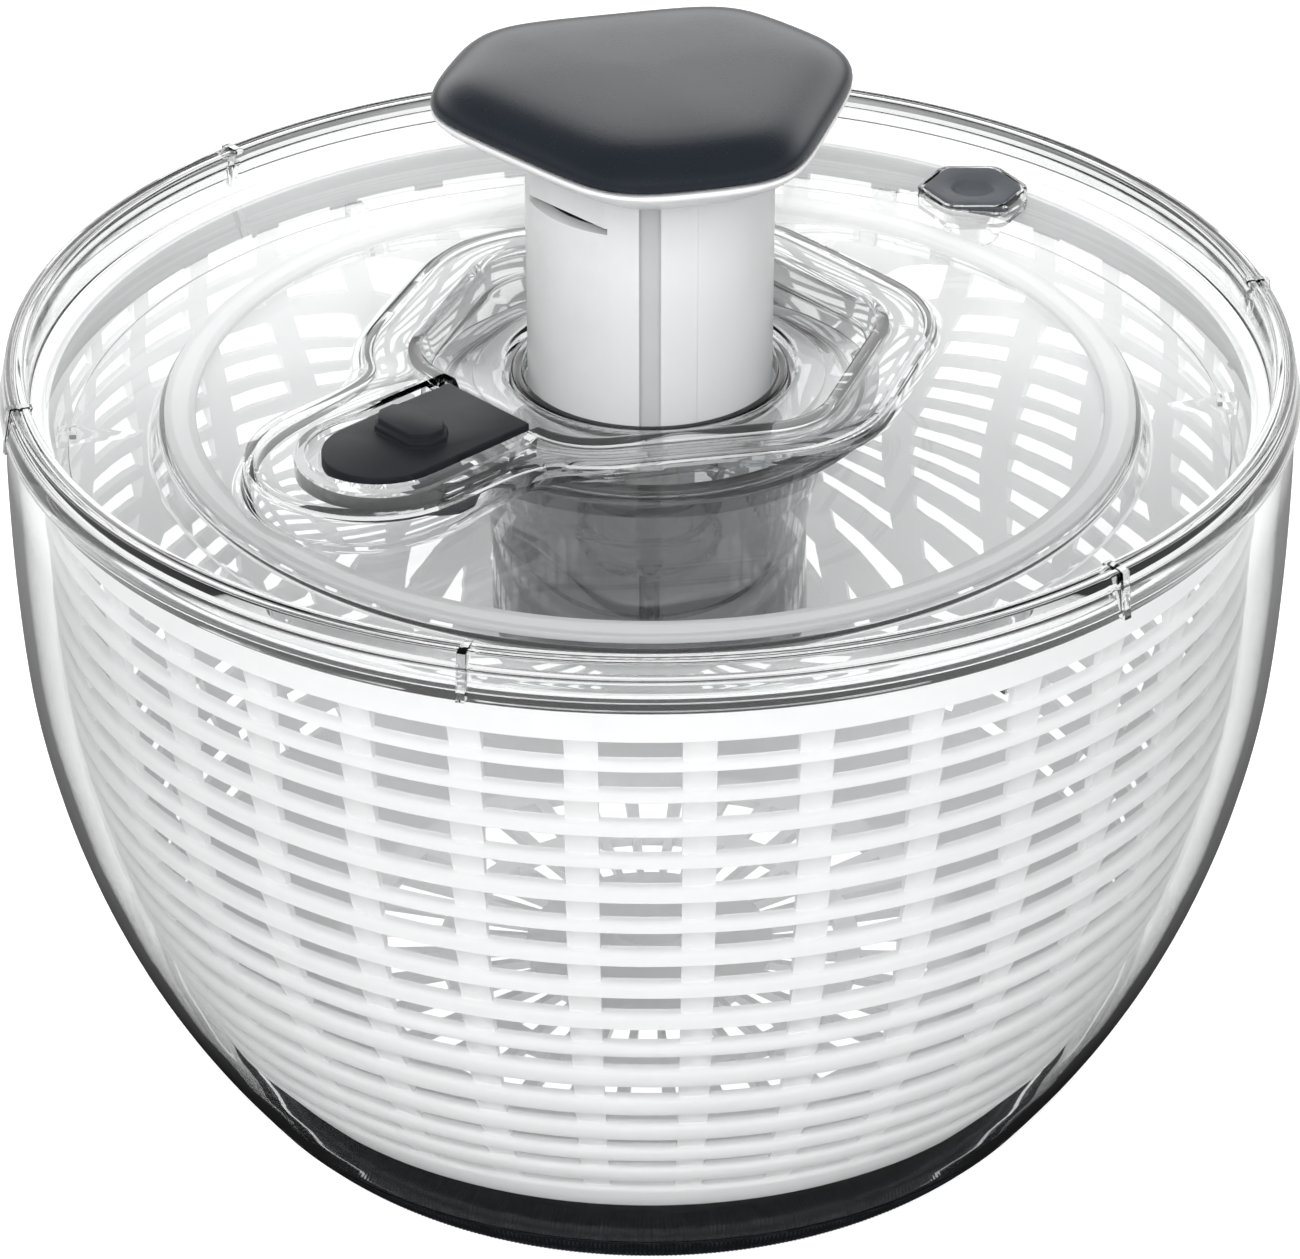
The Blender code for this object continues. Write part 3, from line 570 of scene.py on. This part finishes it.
def make_basket():
    """An outer and an inner skin with the same rows and columns, joined round each gap."""
    rows = basket_rows()
    floor_rows = [(97.0, 20.2, False), (95.2, 18.0, False), (92.0, 15.4, False),
                  (88.0, 13.2, False), (84.0, 12.2, False), (80.0, 12.0, False),
                  (66.0, 12.0, False), (61.0, 12.0, True), (46.0, 12.0, False),
                  (41.0, 12.0, True), (27.0, 12.0, False), (18.0, 12.0, False),
                  (6.3, 12.0, False), (6.1, 12.4, False), (5.8, 17.0, False), (0.0, 17.2, False)]
    outer = rows + floor_rows
    inner = [(basket_radius(height) - BASKET_WALL, height) for radius, height, _ in rows]
    inner[0] = (120.3, 150.0)
    inner[1] = (120.2, 149.4)
    inner += [(95.0, 21.4), (93.2, 19.6), (90.6, 17.2), (87.2, 15.2), (84.0, 14.4), (80.0, 14.2),
              (66.0, 14.2), (61.0, 14.2), (46.0, 14.2), (41.0, 14.2), (27.0, 14.2), (18.0, 14.4),
              (9.4, 14.6), (9.0, 15.2), (8.7, 19.2), (0.0, 19.6)]
    rib_columns, gap_columns = 2, 4
    edges = []
    pitch = 2 * math.pi / BASKET_RIBS
    for i in range(BASKET_RIBS):
        start = RIB_PHASE + pitch * (i - RIB_SHARE / 2)
        for k in range(rib_columns):
            edges.append((start + pitch * RIB_SHARE * k / rib_columns, False))
        for k in range(gap_columns):
            edges.append((start + pitch * (RIB_SHARE + (1 - RIB_SHARE) * k / gap_columns), True))
    bm = bmesh.new()

    def skin(profile):
        return [[bm.verts.new((*around(radius, angle), height)) for radius, height in profile]
                for angle, is_open in edges]

    sides = [skin([row[:2] for row in outer]), skin(inner)]
    columns = len(edges)

    def is_open(column, row):
        return edges[column % columns][1] and outer[row][2]

    for c in range(columns):
        d = (c + 1) % columns
        bm.faces.new((sides[0][c][0], sides[0][d][0], sides[1][d][0], sides[1][c][0]))
        for r in range(len(outer) - 1):
            if not is_open(c, r):
                for side in sides:
                    bm.faces.new((side[c][r], side[d][r], side[d][r + 1], side[c][r + 1]))
                continue
            joints = [(c, r, d, r), (c, r + 1, d, r + 1)]
            if not is_open(c - 1, r):
                joints.append((c, r, c, r + 1))
            if not is_open(c + 1, r):
                joints.append((d, r, d, r + 1))
            for a, i, b, j in joints:
                bm.faces.new((sides[0][a][i], sides[0][b][j], sides[1][b][j], sides[1][a][i]))
    piece("basket", bm, WHITE, "basket_body", ["basket"], angle=40)


# ---- lid ----------------------------------------------------------------------------
LID_STEPS = 300
DOME_TOP = 160.2             # height of the lid's floor at the platform's corners
DOME_FALL = 0.127            # its fall for each millimetre outwards


def dome(point):
    """Height of the lid's floor, which falls gently from the platform to the rim."""
    return DOME_TOP - DOME_FALL * (math.hypot(*point) - PLATFORM_CORNER)


def dome_level(outline, drop=0.0):
    return [(x, y, dome((x, y)) - drop) for x, y in outline]


def lid_circle(radius):
    return circle(radius, LID_STEPS, HEX_PHASE)


def lid_loops():
    """Loops over the top of the lid from the collar to the skirt, and back underneath."""
    def hexes(corner, fillet, height):
        return level(hexagon(corner, fillet, LID_STEPS), height)

    def shelf(grow, height):
        return level(platform(grow, LID_STEPS), height)

    def near_dome(grow, rise):
        return [(x, y, dome((x, y)) + rise) for x, y in platform(grow, LID_STEPS)]

    top = [level(lid_circle(COLLAR_RADIUS), 154.6),
           level(lid_circle(COLLAR_RADIUS + 0.1), 155.4),
           level(lid_circle(COLLAR_RADIUS + 0.6), 155.7),
           level(lid_circle(COLLAR_RADIUS + 1.4), 155.6),
           hexes(40.0, 12.5, 156.6), hexes(45.2, 14.0, 157.4), hexes(46.2, 14.2, 157.9),
           hexes(46.9, 14.4, 159.0), hexes(47.9, 14.7, 161.6), hexes(48.4, 14.9, 162.5),
           hexes(49.2, 15.2, 162.9), hexes(50.4, 15.6, RIDGE_TOP),
           shelf(-2.2, RIDGE_TOP), shelf(-1.2, 162.9), shelf(-0.5, 162.5), shelf(-0.1, 161.8),
           near_dome(0.3, 1.0), near_dome(0.7, 0.35), near_dome(1.4, 0.05), near_dome(2.4, 0.0),
           dome_level(lid_circle(109.0))]
    rim = rounded([(112.0, dome((112.0, 0)), 0), (121.5, 152.7, 3.0), (123.9, 153.6, 1.6),
                   (124.4, 162.7, 0.8), (125.9, 162.7, 0.5), (126.2, 162.2, 0.4),
                   (126.7, 162.2, 0.4), (127.0, 162.7, 0.5), (128.2, 162.7, 0.8),
                   (129.9, 155.2, 0.5), (129.0, 155.0, 0.3), (128.85, 159.6, 0.5),
                   (126.1, 159.6, 0.5), (126.1, 151.2, 0.6), (121.8, 150.6, 1.5),
                   (112.0, dome((112.0, 0)) - 2.0, 0)])
    under = [dome_level(lid_circle(109.0), 2.0),
             near_dome(0.6, -2.0), near_dome(-0.4, -1.9), near_dome(-1.2, -1.4),
             shelf(-1.8, 160.0), shelf(-2.2, 160.7), shelf(-3.2, 161.0),
             hexes(52.4, 17.3, 161.0), hexes(51.4, 17.0, 160.7), hexes(50.6, 16.8, 159.8),
             hexes(49.6, 16.5, 157.2), hexes(49.0, 16.2, 156.2), hexes(48.2, 16.0, 155.7),
             hexes(42.0, 14.0, 154.8), level(lid_circle(COLLAR_RADIUS + 1.0), 153.4),
             level(lid_circle(COLLAR_RADIUS), 153.5)]
    return top + [level(lid_circle(radius), height) for radius, height in rim] + under


def make_lid():
    """The turned shell, the slider's slot in its pod, the plug's cup and the rim's ribs."""
    lid = piece("lid_shell", skinned(lid_loops(), ring=True), CLEAR_LID, "lid", ["lid_shell"])
    floor_top, end, above = 158.5, 71.2, RIDGE_TOP + 5.0
    block = prism(stadium(46.0, end, 16.6), floor_top - 1.9, RIDGE_TOP - 1.4)
    recess = prism(stadium(42.0, end, 14.6), 160.5, above)
    slot = prism(stadium(30.0, end, 12.3), floor_top, above)
    stem_hole = prism([(46.8, -2.6), (67.2, -2.6), (67.2, 2.6), (46.8, 2.6)],
                      floor_top - 5.0, floor_top + 5.0)
    tools = [(block, "UNION", SLIDE_AZIMUTH, (0, 0)),
             (recess, "DIFFERENCE", SLIDE_AZIMUTH, (0, 0)),
             (slot, "DIFFERENCE", SLIDE_AZIMUTH, (0, 0)),
             (stem_hole, "DIFFERENCE", SLIDE_AZIMUTH, (0, 0))]
    spot = around(PLUG_REACH, PLUG_AZIMUTH)

    def six_sided(corner):
        return hexagon(corner, 3.0, 72, phase=0.0)

    cup = skinned([level(six_sided(11.8), 149.4), level(six_sided(12.4), 150.0),
                   level(six_sided(12.4), 155.6), level(six_sided(12.1), 156.1),
                   level(six_sided(11.7), 156.2)])
    tools += [(cup, "UNION", 0.0, spot), (rod(6.2, 143.6, 150.0, steps=48), "UNION", 0.0, spot),
              (prism(six_sided(11.35), 150.6, 160.0), "DIFFERENCE", 0.0, spot),
              (rod(5.0, 140.0, 152.0, steps=48), "DIFFERENCE", 0.0, spot)]
    for degrees in (-104.9, -48.1, 10.7, 75.0, 135.9, 195.0):
        rib = skinned([[(129.0, -0.85, 153.2), (130.3, -0.85, 153.2), (130.3, 0.85, 153.2),
                        (129.0, 0.85, 153.2)],
                       [(123.9, -0.85, 162.6), (129.1, -0.85, 162.6), (129.1, 0.85, 162.6),
                        (123.9, 0.85, 162.6)],
                       [(124.5, -0.8, 163.0), (128.0, -0.8, 163.0), (128.0, 0.8, 163.0),
                        (124.5, 0.8, 163.0)]])
        tools.append((rib, "UNION", math.radians(degrees), (0, 0)))
    carve(lid, tools, angle=30)


def make_plug():
    """A soft six-sided plug with a round stem and a finger dimple in its flat top."""
    steps = 72

    def six_sided(corner, height):
        return level(hexagon(corner, 3.0, steps, phase=0.0), height)

    def round_at(radius, height):
        return level(circle(radius, steps), height)

    loops = [round_at(3.6, 146.5), round_at(4.0, 146.9), round_at(4.6, 151.8),
             six_sided(10.6, 151.8), six_sided(10.95, 152.1), six_sided(11.0, 155.2),
             six_sided(10.9, 155.9), six_sided(10.5, 156.3), six_sided(9.9, 156.4),
             round_at(6.6, 156.4), round_at(6.0, 156.3), round_at(4.9, 156.0),
             round_at(4.2, 155.4), round_at(3.9, 154.9), round_at(3.2, 154.5),
             round_at(1.2, 154.4)]
    piece("drain_plug", skinned(loops), PLUG_RUBBER, "plug", ["drain_plug"],
          at=around(PLUG_REACH, PLUG_AZIMUTH), angle=50)


# ---- slider lock --------------------------------------------------------------------
def make_slider():
    """The sliding plate with its stepped tab and its stem, and the soft foot on the stem."""
    bottom, top = 159.6, 162.5
    slider = piece("slider_lock", prism(stadium(43.5, 70.8, 11.7, 40), bottom, top), CHARCOAL,
                   "slider", ["slider_lock"], turn=SLIDE_AZIMUTH)
    centre = (62.2, -1.5)
    tab = skinned([level(chamfered_box(centre, 10.0, 16.0, 3.0), top - 1),
                   level(chamfered_box(centre, 10.0, 16.0, 3.0), top + 1.2),
                   level(chamfered_box(centre, 8.8, 14.8, 2.7), top + 1.5),
                   level(chamfered_box(centre, 8.6, 14.6, 2.6), top + 2.7)])
    stem = prism([(62.7, -2), (66.7, -2), (66.7, 2), (62.7, 2)], 155.2, bottom + 1)
    carve(slider, [(tab, "UNION", SLIDE_AZIMUTH, (0, 0)), (stem, "UNION", SLIDE_AZIMUTH, (0, 0))])
    soften(slider, 0.35)
    foot = piece("brake_foot", prism(chamfered_box((62.0, 5.5), 10.0, 17.0, 3.0), 150.6, 154.9),
                 BLACK_RUBBER, "slider", ["brake_foot"], turn=SLIDE_AZIMUTH)
    soften(foot, 0.8, 3)


# ---- handle -------------------------------------------------------------------------
def make_knob():
    """The domed cap, and under it the base with its socket for the sleeve."""
    # how far inside the knob's outline, and height
    cap = [(1.2, 212.3), (0.5, 212.4), (0.05, 212.7), (0.0, 213.0), (0.15, 214.0), (0.6, 215.0),
           (1.35, 215.95), (2.35, 216.8), (3.6, 217.5), (5.0, 218.1), (6.6, 218.52), (8.3, 218.8),
           (11.0, 219.05), (15.0, 219.23), (20.0, 219.38), (26.0, 219.5), (33.0, 219.59),
           (35.5, 219.6)]
    piece("knob_cap", skinned([level(knob_outline(inset), height) for inset, height in cap]),
          SOFT_TOUCH, "handle", ["knob_cap"], angle=60)

    def rounds(radius, height):
        return level(circle(radius, 216, SLIDE_AZIMUTH), height)

    base = [level(knob_outline(1.2), 212.0), rounds(28.2, 212.0), rounds(28.0, 211.8),
            rounds(28.0, 209.0), rounds(9.0, 209.0), rounds(9.0, 206.9), rounds(24.9, 206.9),
            rounds(24.9, 204.2), rounds(25.2, 204.0), rounds(26.2, 204.0), rounds(26.7, 204.3)]
    base += [level(knob_outline(inset), height) for inset, height in
             ((9.4, 204.9), (7.4, 205.9), (5.0, 207.3), (2.9, 208.6), (1.3, 209.8), (0.45, 210.7),
              (0.15, 211.3), (0.35, 211.8))]
    piece("knob_base", skinned(base, ring=True), GLOSS_WHITE, "handle", ["knob_base"],
          angle=50)


def make_sleeve():
    """A tube with a groove and a moulding seam down its side and a notch for the slider."""
    profile = rounded([(21.4, 146.0, 0.4), (24.6, 146.0, 0.6), (24.6, 206.6, 0.3),
                       (21.4, 206.6, 0.3)])
    sleeve = piece("plunger_sleeve", turned(profile, 160), GROOVED_WHITE, "handle",
                   ["plunger_sleeve"])
    groove = [(-2.1, -30), (2.1, -30), (2.1, -23.0), (-2.1, -23.0)]
    notch = [(22.3, -12), (30, -12), (30, 12), (22.3, 12)]
    slit = [(18.0, -11), (30, -11), (30, 11), (18.0, 11)]
    seam = [(24.52, -0.12), (30, -0.12), (30, 0.12), (24.52, 0.12)]
    carve(sleeve, [(prism(groove, 140, 210), "DIFFERENCE", 0.0, (0, 0)),
                   (prism(notch, 195.0, 203.4), "DIFFERENCE", SLIDE_AZIMUTH, (0, 0)),
                   (prism(slit, 195.0, 196.3), "DIFFERENCE", SLIDE_AZIMUTH, (0, 0)),
                   (prism(seam, 140, 210), "DIFFERENCE", math.radians(-68), (0, 0))])


def make_spring():
    """A coil with closed ends, from the housing cap to the underside of the nut."""
    coil, wire, sides = 15.0, 0.8, 12
    low, high = 108.3, 154.9
    turns, per_turn = 8, 40
    count = turns * per_turn
    loops = []
    for i in range(count + 1):
        share = i / count
        lead = min(max((share * turns - 1.0) / (turns - 2.0), 0.0), 1.0)
        centre = Vector((*around(coil, 2 * math.pi * turns * share), low + (high - low) * lead))
        out = Vector((*around(1, 2 * math.pi * turns * share), 0))
        loops.append([centre + out * wire * math.cos(a) + Vector((0, 0, wire * math.sin(a)))
                      for a in (2 * math.pi * k / sides for k in range(sides))])
    spring = piece("return_spring", skinned(loops), STEEL, "handle", ["return_spring"])
    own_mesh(spring)


# ---- pump housing and rotor ---------------------------------------------------------
def make_housing():
    """A flanged tube with three screw bosses at its lower end."""
    profile = rounded([(25.5, 107.5, 0), (28.0, 107.5, 0.3), (28.0, 150.4, 0.5),
                       (36.0, 150.4, 0.5), (36.0, 152.6, 0.5), (28.0, 152.6, 0.5),
                       (28.0, 155.0, 0.8), (25.5, 155.0, 0.8)])
    housing = piece("pump_housing", turned(profile, 128), CLEAR_LID, "lid", ["pump_housing"])
    spots = [around(BOSS_CIRCLE, math.radians(120 * i + 30)) for i in range(3)]
    tools = [(rod(2.7, 107.5, 118.0, at), "UNION", 0.0, (0, 0)) for at in spots]
    tools.append((rod(25.5, 100.0, 160.0, steps=128), "DIFFERENCE", 0.0, (0, 0)))
    tools += [(rod(1.35, 106.5, 115.5, at), "DIFFERENCE", 0.0, (0, 0)) for at in spots]
    carve(housing, tools)


def make_rotor():
    """The smoked cup, the clear disc with its lugs for the basket, and the white ring."""
    cup = rounded([(3.7, 97.7, 0.2), (3.7, 95.5, 0.2), (33.4, 95.5, 2.0), (34.4, 114.0, 6.0),
                   (37.0, 128.0, 8.0), (42.5, 147.3, 0.4), (47.0, 147.3, 0.3), (47.0, 148.9, 0.5),
                   (40.8, 148.9, 0.8), (35.0, 128.0, 8.0), (32.4, 114.0, 6.0), (31.3, 97.7, 1.5)])
    piece("rotor_cup", turned(cup, 128), SMOKED, "rotor", ["rotor_cup"])
    disc = rounded([(43.0, 145.0, 0.4), (97.2, 145.0, 0.8), (99.2, 139.8, 0.8),
                    (117.2, 139.8, 0.5), (117.2, 141.8, 0.5), (100.8, 141.8, 0.8),
                    (98.6, 147.0, 0.6), (43.0, 147.0, 0.4)])
    made = piece("drive_disc", turned(disc, 224), CLEAR_LID, "rotor", ["drive_disc"])
    lug = [(115.5, -2), (119.7, -2), (119.7, 2), (115.5, 2)]
    carve(made, [(prism(lug, 139.8, 142.8), "UNION", math.radians(60 * i + 3.5), (0, 0))
                 for i in range(6)])
    ring = rounded([(91.2, 147.3, 0.3), (97.5, 147.3, 0.3), (97.5, 148.7, 0.6),
                    (91.2, 148.7, 0.6)])
    piece("drive_ring", turned(ring, 224), RING_WHITE, "rotor", ["drive_ring"])


def lobes(radius, depth, turn, steps):
    """A three-start spiral's section, turned by turn."""
    points = []
    for i in range(steps):
        angle = 2 * math.pi * i / steps
        reach = radius - depth / 2 + depth / 2 * math.cos(3 * (angle - turn))
        points.append(around(reach, angle))
    return points


def make_shaft():
    """A plain lower end and, above it, three starts of spiral with one turn for lead."""
    steps, lead = 48, 40.0
    rows = [(1.35, 102.5), (1.35, 94.9), (3.1, 94.9), (3.3, 95.1), (3.3, 98.3), (5.0, 98.3),
            (5.0, 103.4), (6.6, 103.4), (6.6, 109.5), (9.6, 109.5), (9.8, 109.7), (9.8, 110.7),
            (9.6, 110.9), (6.6, 110.9)]
    loops = [level(circle(radius, steps), height) for radius, height in rows]
    start, end, count = 113.0, 170.0, 90
    for i in range(count + 1):
        height = start + (end - start) * i / count
        loops.append(level(lobes(6.2, 1.6, 2 * math.pi * (height - start) / lead, steps), height))
    loops += [level(circle(4.4, steps), end + 0.6), level(circle(3.5, steps), end + 1.0)]
    piece("spiral_shaft", skinned(loops), ACETAL, "shaft", ["spiral_shaft"], angle=50)


def make_screw(name, body, at, head_rests, direction, head=2.1):
    """A pan-head screw with a cross recess; its shank points up or down by direction."""
    shank = 9.0

    def row(radius, along, fillet=0.0):
        return (radius, head_rests + direction * along, fillet)

    outline = rounded([row(0, shank), row(1.0, shank - 0.9, 0.2), row(1.0, 0, 0.1),
                       row(head, 0, 0.2), row(head, -1.0, 0.5), row(head * 0.7, -1.75, 0.6),
                       row(0, -1.8)])
    screw = piece(name, turned(outline, 40), STEEL, body, [name], at=at)
    low, high = sorted((head_rests - direction * 0.9, head_rests - direction * 3.0))
    arm = head * 0.55
    cross = []
    for x, y in ((arm, 0.22), (0.22, arm)):
        blade = prism([(x, -y), (x, y), (-x, y), (-x, -y)], low, high)
        cross.append((blade, "DIFFERENCE", math.radians(20), at))
    carve(screw, cross)


def make_screws():
    for i in range(3):
        make_screw(f"cap_screw_{i + 1}", "lid",
                   around(BOSS_CIRCLE, math.radians(120 * i + 30)), 104.3, 1)
        make_screw(f"knob_screw_{i + 1}", "handle",
                   around(23.0, math.radians(120 * i + 60)), 209.3, -1)
    make_screw("shaft_screw", "shaft", (0, 0), 93.3, 1, head=3.2)


def finish_kept_nodes():
    """Better finishes for the CAD nodes whose shape is right as it is."""
    looks = {"housing_cap": GLOSS_WHITE, "shaft_bush": ACETAL, "drive_nut": ACETAL,
             "pawl_carrier": CHARCOAL, "pawl_1": ACETAL, "pawl_2": ACETAL,
             "rotor_washer": STEEL, "ratchet_ring": CHARCOAL}
    for name, look in looks.items():
        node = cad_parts[name]
        for slot in node.material_slots:
            slot.material = look


# ---- studio -------------------------------------------------------------------------
TWO_WALLS = 3.5              # rays with more refractions than this have crossed two walls
THROUGH_GLOW = 1.3
FLOOR_HALF = 3000


def make_floor():
    """A pale floor. Reflections see it dim, as in a studio with black cards, and darkest near
    the object, where the dimness is a painted shadow; rays that have crossed two clear walls
    see it bright."""
    n = Nodes("pale floor")
    cloud = n.noise(3, detail=3)
    n.link(n.ramp(cloud, [(0.3, (0.93, 0.93, 0.93)), (0.7, (0.945, 0.945, 0.945))]),
           n.shader.inputs["Base Color"])
    n.link(n.span(cloud, 0.75, 0.85), n.shader.inputs["Roughness"])
    n.shader.inputs["Specular IOR Level"].default_value = 0.2
    n.shader.inputs["Emission Color"].default_value = (1.0, 1.0, 1.0, 1.0)
    n.shader.inputs["Emission Strength"].default_value = 0.4
    rays = n.add("ShaderNodeLightPath")
    away = n.add("ShaderNodeVectorMath", operation="LENGTH")
    n.link(n.place, away.inputs[0])
    table = n.shader.outputs["BSDF"]
    bright = n.ramp(away.outputs["Value"], [(0.0, (1.0, 1.0, 1.0)), (1.0, (0.97, 0.97, 0.97))])
    # reflections see the floor darkest near the object: a painted shadow of the object
    dim = n.ramp(away.outputs["Value"], [(0.1, (0.012, 0.012, 0.012)), (0.15, (0.12, 0.12, 0.12)),
                                         (0.25, (0.24, 0.24, 0.24)), (0.31, (0.3, 0.3, 0.3)),
                                         (0.38, (0.95, 0.95, 0.95))])
    deep = n.add("ShaderNodeMath", operation="GREATER_THAN")
    deep.inputs[1].default_value = TWO_WALLS
    n.link(rays.outputs["Transmission Depth"], deep.inputs[0])
    for seen, colour, strength in ((rays.outputs["Is Glossy Ray"], dim, 1.0),
                                   (deep.outputs["Value"], bright, THROUGH_GLOW)):
        glow = n.add("ShaderNodeEmission")
        glow.inputs["Strength"].default_value = strength
        n.link(colour, glow.inputs["Color"])
        mixed = n.add("ShaderNodeMixShader")
        n.link(seen, mixed.inputs["Fac"])
        n.link(table, mixed.inputs[1])
        n.link(glow.outputs["Emission"], mixed.inputs[2])
        table = mixed.outputs["Shader"]
    n.link(table, n.output.inputs["Surface"])
    bm = bmesh.new()
    bmesh.ops.create_grid(bm, x_segments=24, y_segments=24, size=FLOOR_HALF)
    floor = piece("floor", bm, n.material, None, ())


def lamp(name, place, aim, size, power):
    """A soft panel that clear and shiny pieces don't show."""
    data = bpy.data.lights.new(name, "AREA")
    data.shape = "RECTANGLE"
    data.size, data.size_y = size
    data.energy = power
    made = bpy.data.objects.new(name, data)
    made.location = place
    made.rotation_euler = (Vector(aim) - Vector(place)).to_track_quat("-Z", "Y").to_euler()
    made.visible_glossy = False
    made.visible_transmission = False
    bpy.context.scene.collection.objects.link(made)


def sky(tree, source, stops):
    """A grey that follows source, which is one part of the ray's direction."""
    ramp = tree.nodes.new("ShaderNodeValToRGB")
    while len(ramp.color_ramp.elements) < len(stops):
        ramp.color_ramp.elements.new(0.5)
    for element, (position, value) in zip(ramp.color_ramp.elements, stops):
        element.position = position
        element.color = (value, value, value, 1.0)
    tree.links.new(source, ramp.inputs["Fac"])
    return ramp.outputs["Color"]


def make_world():
    """A pale studio all round. Reflections see a dark ceiling and a glow at the back."""
    world = bpy.data.worlds.new("studio")
    bpy.context.scene.world = world
    world.use_nodes = True
    tree = world.node_tree
    back = tree.nodes["Background"]
    back.inputs["Strength"].default_value = 3.0
    spot = tree.nodes.new("ShaderNodeTexCoord")
    split = tree.nodes.new("ShaderNodeSeparateXYZ")
    tree.links.new(spot.outputs["Generated"], split.inputs["Vector"])
    height, depth = split.outputs["Z"], split.outputs["Y"]
    soft = sky(tree, height, [(0.0, 0.175), (0.15, 0.22), (1.0, 0.19)])
    through = sky(tree, height, [(0.0, 0.22), (0.08, 0.25), (0.2, 0.32), (1.0, 0.32)])
    sharp = sky(tree, height, [(0.0, 0.12), (0.1, 0.16), (0.2, 0.27), (0.45, 0.24), (0.6, 0.07),
                               (1.0, 0.03)])
    glow = sky(tree, height, [(0.0, 0.0), (0.1, 0.2), (0.2, 1.0), (0.42, 1.0), (0.55, 0.12),
                              (0.68, 0.0)])
    pale = sky(tree, height, [(0.0, 0.33), (1.0, 0.33)])
    behind = sky(tree, depth, [(0.3, 0.0), (0.75, 1.0)])
    reflected = tree.nodes.new("ShaderNodeMix")
    reflected.data_type = "RGBA"
    reflected.blend_type = "ADD"
    back_glow = tree.nodes.new("ShaderNodeMath")
    back_glow.operation = "MULTIPLY"
    tree.links.new(glow, back_glow.inputs[0])
    tree.links.new(behind, back_glow.inputs[1])
    reflected.inputs["B"].default_value = (0.7, 0.7, 0.7, 1.0)
    tree.links.new(back_glow.outputs["Value"], reflected.inputs["Factor"])
    tree.links.new(sharp, reflected.inputs["A"])
    rays = tree.nodes.new("ShaderNodeLightPath")
    scattered = tree.nodes.new("ShaderNodeMath")
    scattered.operation = "GREATER_THAN"
    scattered.inputs[1].default_value = 0.5
    tree.links.new(rays.outputs["Diffuse Depth"], scattered.inputs[0])
    colour = soft
    # rays through clear plastic are both glossy and transmission rays, so glossy comes first
    for ray, seen in ((rays.outputs["Is Glossy Ray"], reflected.outputs["Result"]),
                      (rays.outputs["Is Transmission Ray"], through),
                      (scattered.outputs["Value"], soft),
                      (rays.outputs["Is Camera Ray"], pale)):
        mix = tree.nodes.new("ShaderNodeMix")
        mix.data_type = "RGBA"
        tree.links.new(ray, mix.inputs["Factor"])
        tree.links.new(colour, mix.inputs["A"])
        tree.links.new(seen, mix.inputs["B"])
        colour = mix.outputs["Result"]
    tree.links.new(colour, back.inputs["Color"])


def make_camera():
    """In front and above, with a long lens."""
    look_down = 30.86
    data = bpy.data.cameras.new("camera")
    data.sensor_width = 36.0
    data.lens = 119.3206
    data.clip_start = 0.01
    made = bpy.data.objects.new("camera", data)
    made.location = (0.0, -0.771, 0.5538)
    made.rotation_euler = (math.radians(90 - look_down), 0.0, 0.0)
    bpy.context.scene.collection.objects.link(made)
    bpy.context.scene.camera = made


make_bowl()
make_base_ring()
make_basket()
make_lid()
make_plug()
make_slider()
make_knob()
make_sleeve()
make_spring()
make_housing()
make_rotor()
make_shaft()
make_screws()
finish_kept_nodes()
make_floor()
lamp("front panel", (-0.1, -1.55, 1.3), (0, 0, 0.1), (1.4, 1.2), 33)
lamp("top panel", (0.2, 0.3, 1.4), (0, 0, 0.1), (1.2, 1.0), 8)
make_world()
make_camera()
bpy.context.scene.view_settings.view_transform = "Standard"
